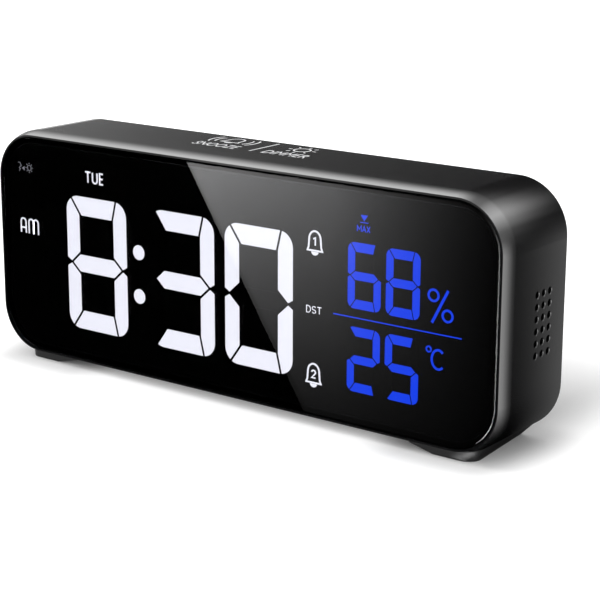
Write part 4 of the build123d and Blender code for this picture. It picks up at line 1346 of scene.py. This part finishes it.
@dataclass
class Studio:
    """A white floor, soft lamps, and graded cards that only the gloss of the object shows.

    The floor's painted shadow is given in metres: two corners of the body's painted shadow, and how far it
    fades out to each side of them and round the feet.
    """

    floor_size: float = 6.0
    floor_white: str = "#F4F4F4"
    # Strongest painted glow, which lifts the floor to white for the camera away from the clock
    painted_floor_lift: float = 0.65
    ambient: float = 0.62
    # Corners and fades of the painted shadow round the body and the feet, and the share of the painted glow
    # left at the feet
    near_corner: Place = (-0.084, 0.012, 0.0)
    near_reach: Place = (0.025, 0.0485, 1.0)
    far_corner: Place = (0.073, 0.03, 0.0)
    far_reach: Place = (0.03, 0.11, 1.0)
    foot_reach: Place = (0.016, 0.0145, 1.0)
    foot_light: float = 0.2
    lamps: tuple[Softbox, ...] = (
        Softbox("left softbox", (-0.95, -0.4, 0.6), (0.0, 0.0, 0.03), (0.6, 1.3), 8.0),
        Softbox("front fill", (-0.1, -1.2, 0.8), (0.0, 0.0, 0.03), (0.9, 0.9), 3.0),
    )

    def build(self) -> None:
        """Make the floor, the surroundings, the lamps and the cards."""
        self.surroundings()
        self.floor()
        for lamp in self.lamps:
            lamp.build()
            log.info("lit by %s", lamp.name)
        cards = MirrorCards()
        self.card("lens card", cards.lens_rows())
        self.card("shell card", cards.shell_rows())
        self.card("chamfer card", cards.chamfer_rows())

    def surroundings(self) -> None:
        """Make the world white to the eye, to gloss and through clear pieces, and softer as a light."""
        world = bpy.data.worlds.new("studio")
        bpy.context.scene.world = world
        world.use_nodes = True
        tree = world.node_tree
        tree.nodes.clear()
        path = add_node(tree, "ShaderNodeLightPath").outputs
        seen = path["Is Camera Ray"]
        for kind in ("Is Glossy Ray", "Is Transmission Ray"):
            either = add_node(tree, "ShaderNodeMath", {"operation": "MAXIMUM"}, {0: seen, 1: path[kind]})
            seen = either.outputs["Value"]
        strength = add_node(tree, "ShaderNodeMapRange", {"To Min": self.ambient}, {"Value": seen})
        sky = add_node(
            tree,
            "ShaderNodeBackground",
            {"Color": (1.0, 1.0, 1.0, 1.0)},
            {"Strength": strength.outputs["Result"]},
        )
        add_node(tree, "ShaderNodeOutputWorld", links={"Surface": sky.outputs["Background"]})

    def floor(self) -> None:
        """Make the floor, with a painted glow for the camera that lifts it to white away from the clock, so
        that the soft shadow of the clock is painted.
        """
        half = self.floor_size / 2
        corners = [(-half, -half, 0), (half, -half, 0), (half, half, 0), (-half, half, 0)]
        mesh = bpy.data.meshes.new("floor")
        mesh.from_pydata(corners, [], [(0, 1, 2, 3)])
        material, tree = bare_material("white studio paper with painted shadow")
        paper = add_node(tree, "ShaderNodeBsdfDiffuse", {"Color": linear(self.floor_white)})
        # Painted glow for the camera only, none at the clock and full away from it: it paints the soft shadow
        # round the body and the feet
        lift = add_node(tree, "ShaderNodeLightPath").outputs["Is Camera Ray"]
        for rise in self.painted_shadow_rises(tree):
            product = add_node(tree, "ShaderNodeMath", {"operation": "MULTIPLY"}, {0: lift, 1: rise})
            lift = product.outputs["Value"]
        glow = add_node(tree, "ShaderNodeEmission", links={"Strength": lift})
        both = add_node(tree, "ShaderNodeAddShader", links={0: paper.outputs[0], 1: glow.outputs[0]})
        add_node(tree, "ShaderNodeOutputMaterial", links={"Surface": both.outputs[0]})
        new_object("floor", mesh, material)

    def painted_shadow_rises(self, tree: Tree) -> list[Socket]:
        """Work out how far the painted glow lifts the floor, from how far a place lies outside the body and
        the feet.

        Args:
            tree: the node tree of the floor.

        Returns:
            The painted lift beyond the painted shadow of the body, and the share of it that is left round the
            feet.
        """
        low, high = (Vector(corner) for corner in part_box("foot_right"))
        middle, half = (high + low) / 2, (high - low) / 2
        runs = (
            (("SUBTRACT", self.far_corner), ("MAXIMUM", ZERO), ("DIVIDE", self.far_reach)),
            (("SUBTRACT", self.near_corner), ("MINIMUM", ZERO), ("DIVIDE", self.near_reach)),
            # Both feet at once, since they lie alike on either side
            (
                ("ABSOLUTE", ZERO),
                ("SUBTRACT", (middle.x, middle.y, 0.0)),
                ("ABSOLUTE", ZERO),
                ("SUBTRACT", (half.x, half.y, 0.0)),
                ("MAXIMUM", ZERO),
                ("DIVIDE", self.foot_reach),
            ),
        )
        place = add_node(tree, "ShaderNodeTexCoord").outputs["Object"]
        parts = []
        for run in runs:
            step = place
            for operation, value in run:
                node = add_node(tree, "ShaderNodeVectorMath", {"operation": operation, 1: value}, {0: step})
                step = node.outputs["Vector"]
            parts.append(step)
        far, near, foot = parts
        both = add_node(tree, "ShaderNodeVectorMath", {"operation": "ADD"}, {0: far, 1: near})
        body = both.outputs["Vector"]
        rises = []
        for step, least, most in ((body, 0.0, self.painted_floor_lift), (foot, self.foot_light, 1.0)):
            away = add_node(tree, "ShaderNodeVectorMath", {"operation": "LENGTH"}, {0: step}).outputs["Value"]
            settings = {"interpolation_type": "SMOOTHSTEP", "To Min": least, "To Max": most}
            rises.append(add_node(tree, "ShaderNodeMapRange", settings, {"Value": away}).outputs["Result"])
        return rises

    def card(self, name: str, rows: Sequence[Sequence[CardPoint]]) -> None:
        """Make a card of graded light that only gloss shows.

        Args:
            name: name of the card.
            rows: its points, row by row, each with its light.
        """
        across = len(rows[0])
        faces = [
            (i * across + j, i * across + j + 1, (i + 1) * across + j + 1, (i + 1) * across + j)
            for i in range(len(rows) - 1)
            for j in range(across - 1)
        ]
        mesh = bpy.data.meshes.new(name)
        mesh.from_pydata([spot for row in rows for spot, _ in row], [], faces)
        shade = mesh.attributes.new("shade", "FLOAT", "POINT")
        shade.data.foreach_set("value", [light for row in rows for _, light in row])
        material, tree = bare_material(name)
        light = add_node(tree, "ShaderNodeAttribute", {"attribute_name": "shade"}).outputs["Fac"]
        glow = add_node(tree, "ShaderNodeEmission", links={"Strength": light})
        add_node(tree, "ShaderNodeOutputMaterial", links={"Surface": glow.outputs[0]})
        board = new_object(name, mesh, material)
        board.visible_camera = False
        board.visible_diffuse = False
        board.visible_shadow = False
        log.info("placed %s", name)


def main() -> None:
    """Dress the CAD pieces, make the signs and set the studio."""
    logging.basicConfig(level=logging.INFO, format="%(name)s: %(message)s")
    bpy.context.scene.view_settings.view_transform = "Standard"
    Camera().build()
    CadFinishes().dress()
    for assembly in (DisplaySigns(), TopPrint(), RearPrint()):
        assembly.build()
    Studio().build()


if __name__ == "__main__":
    main()
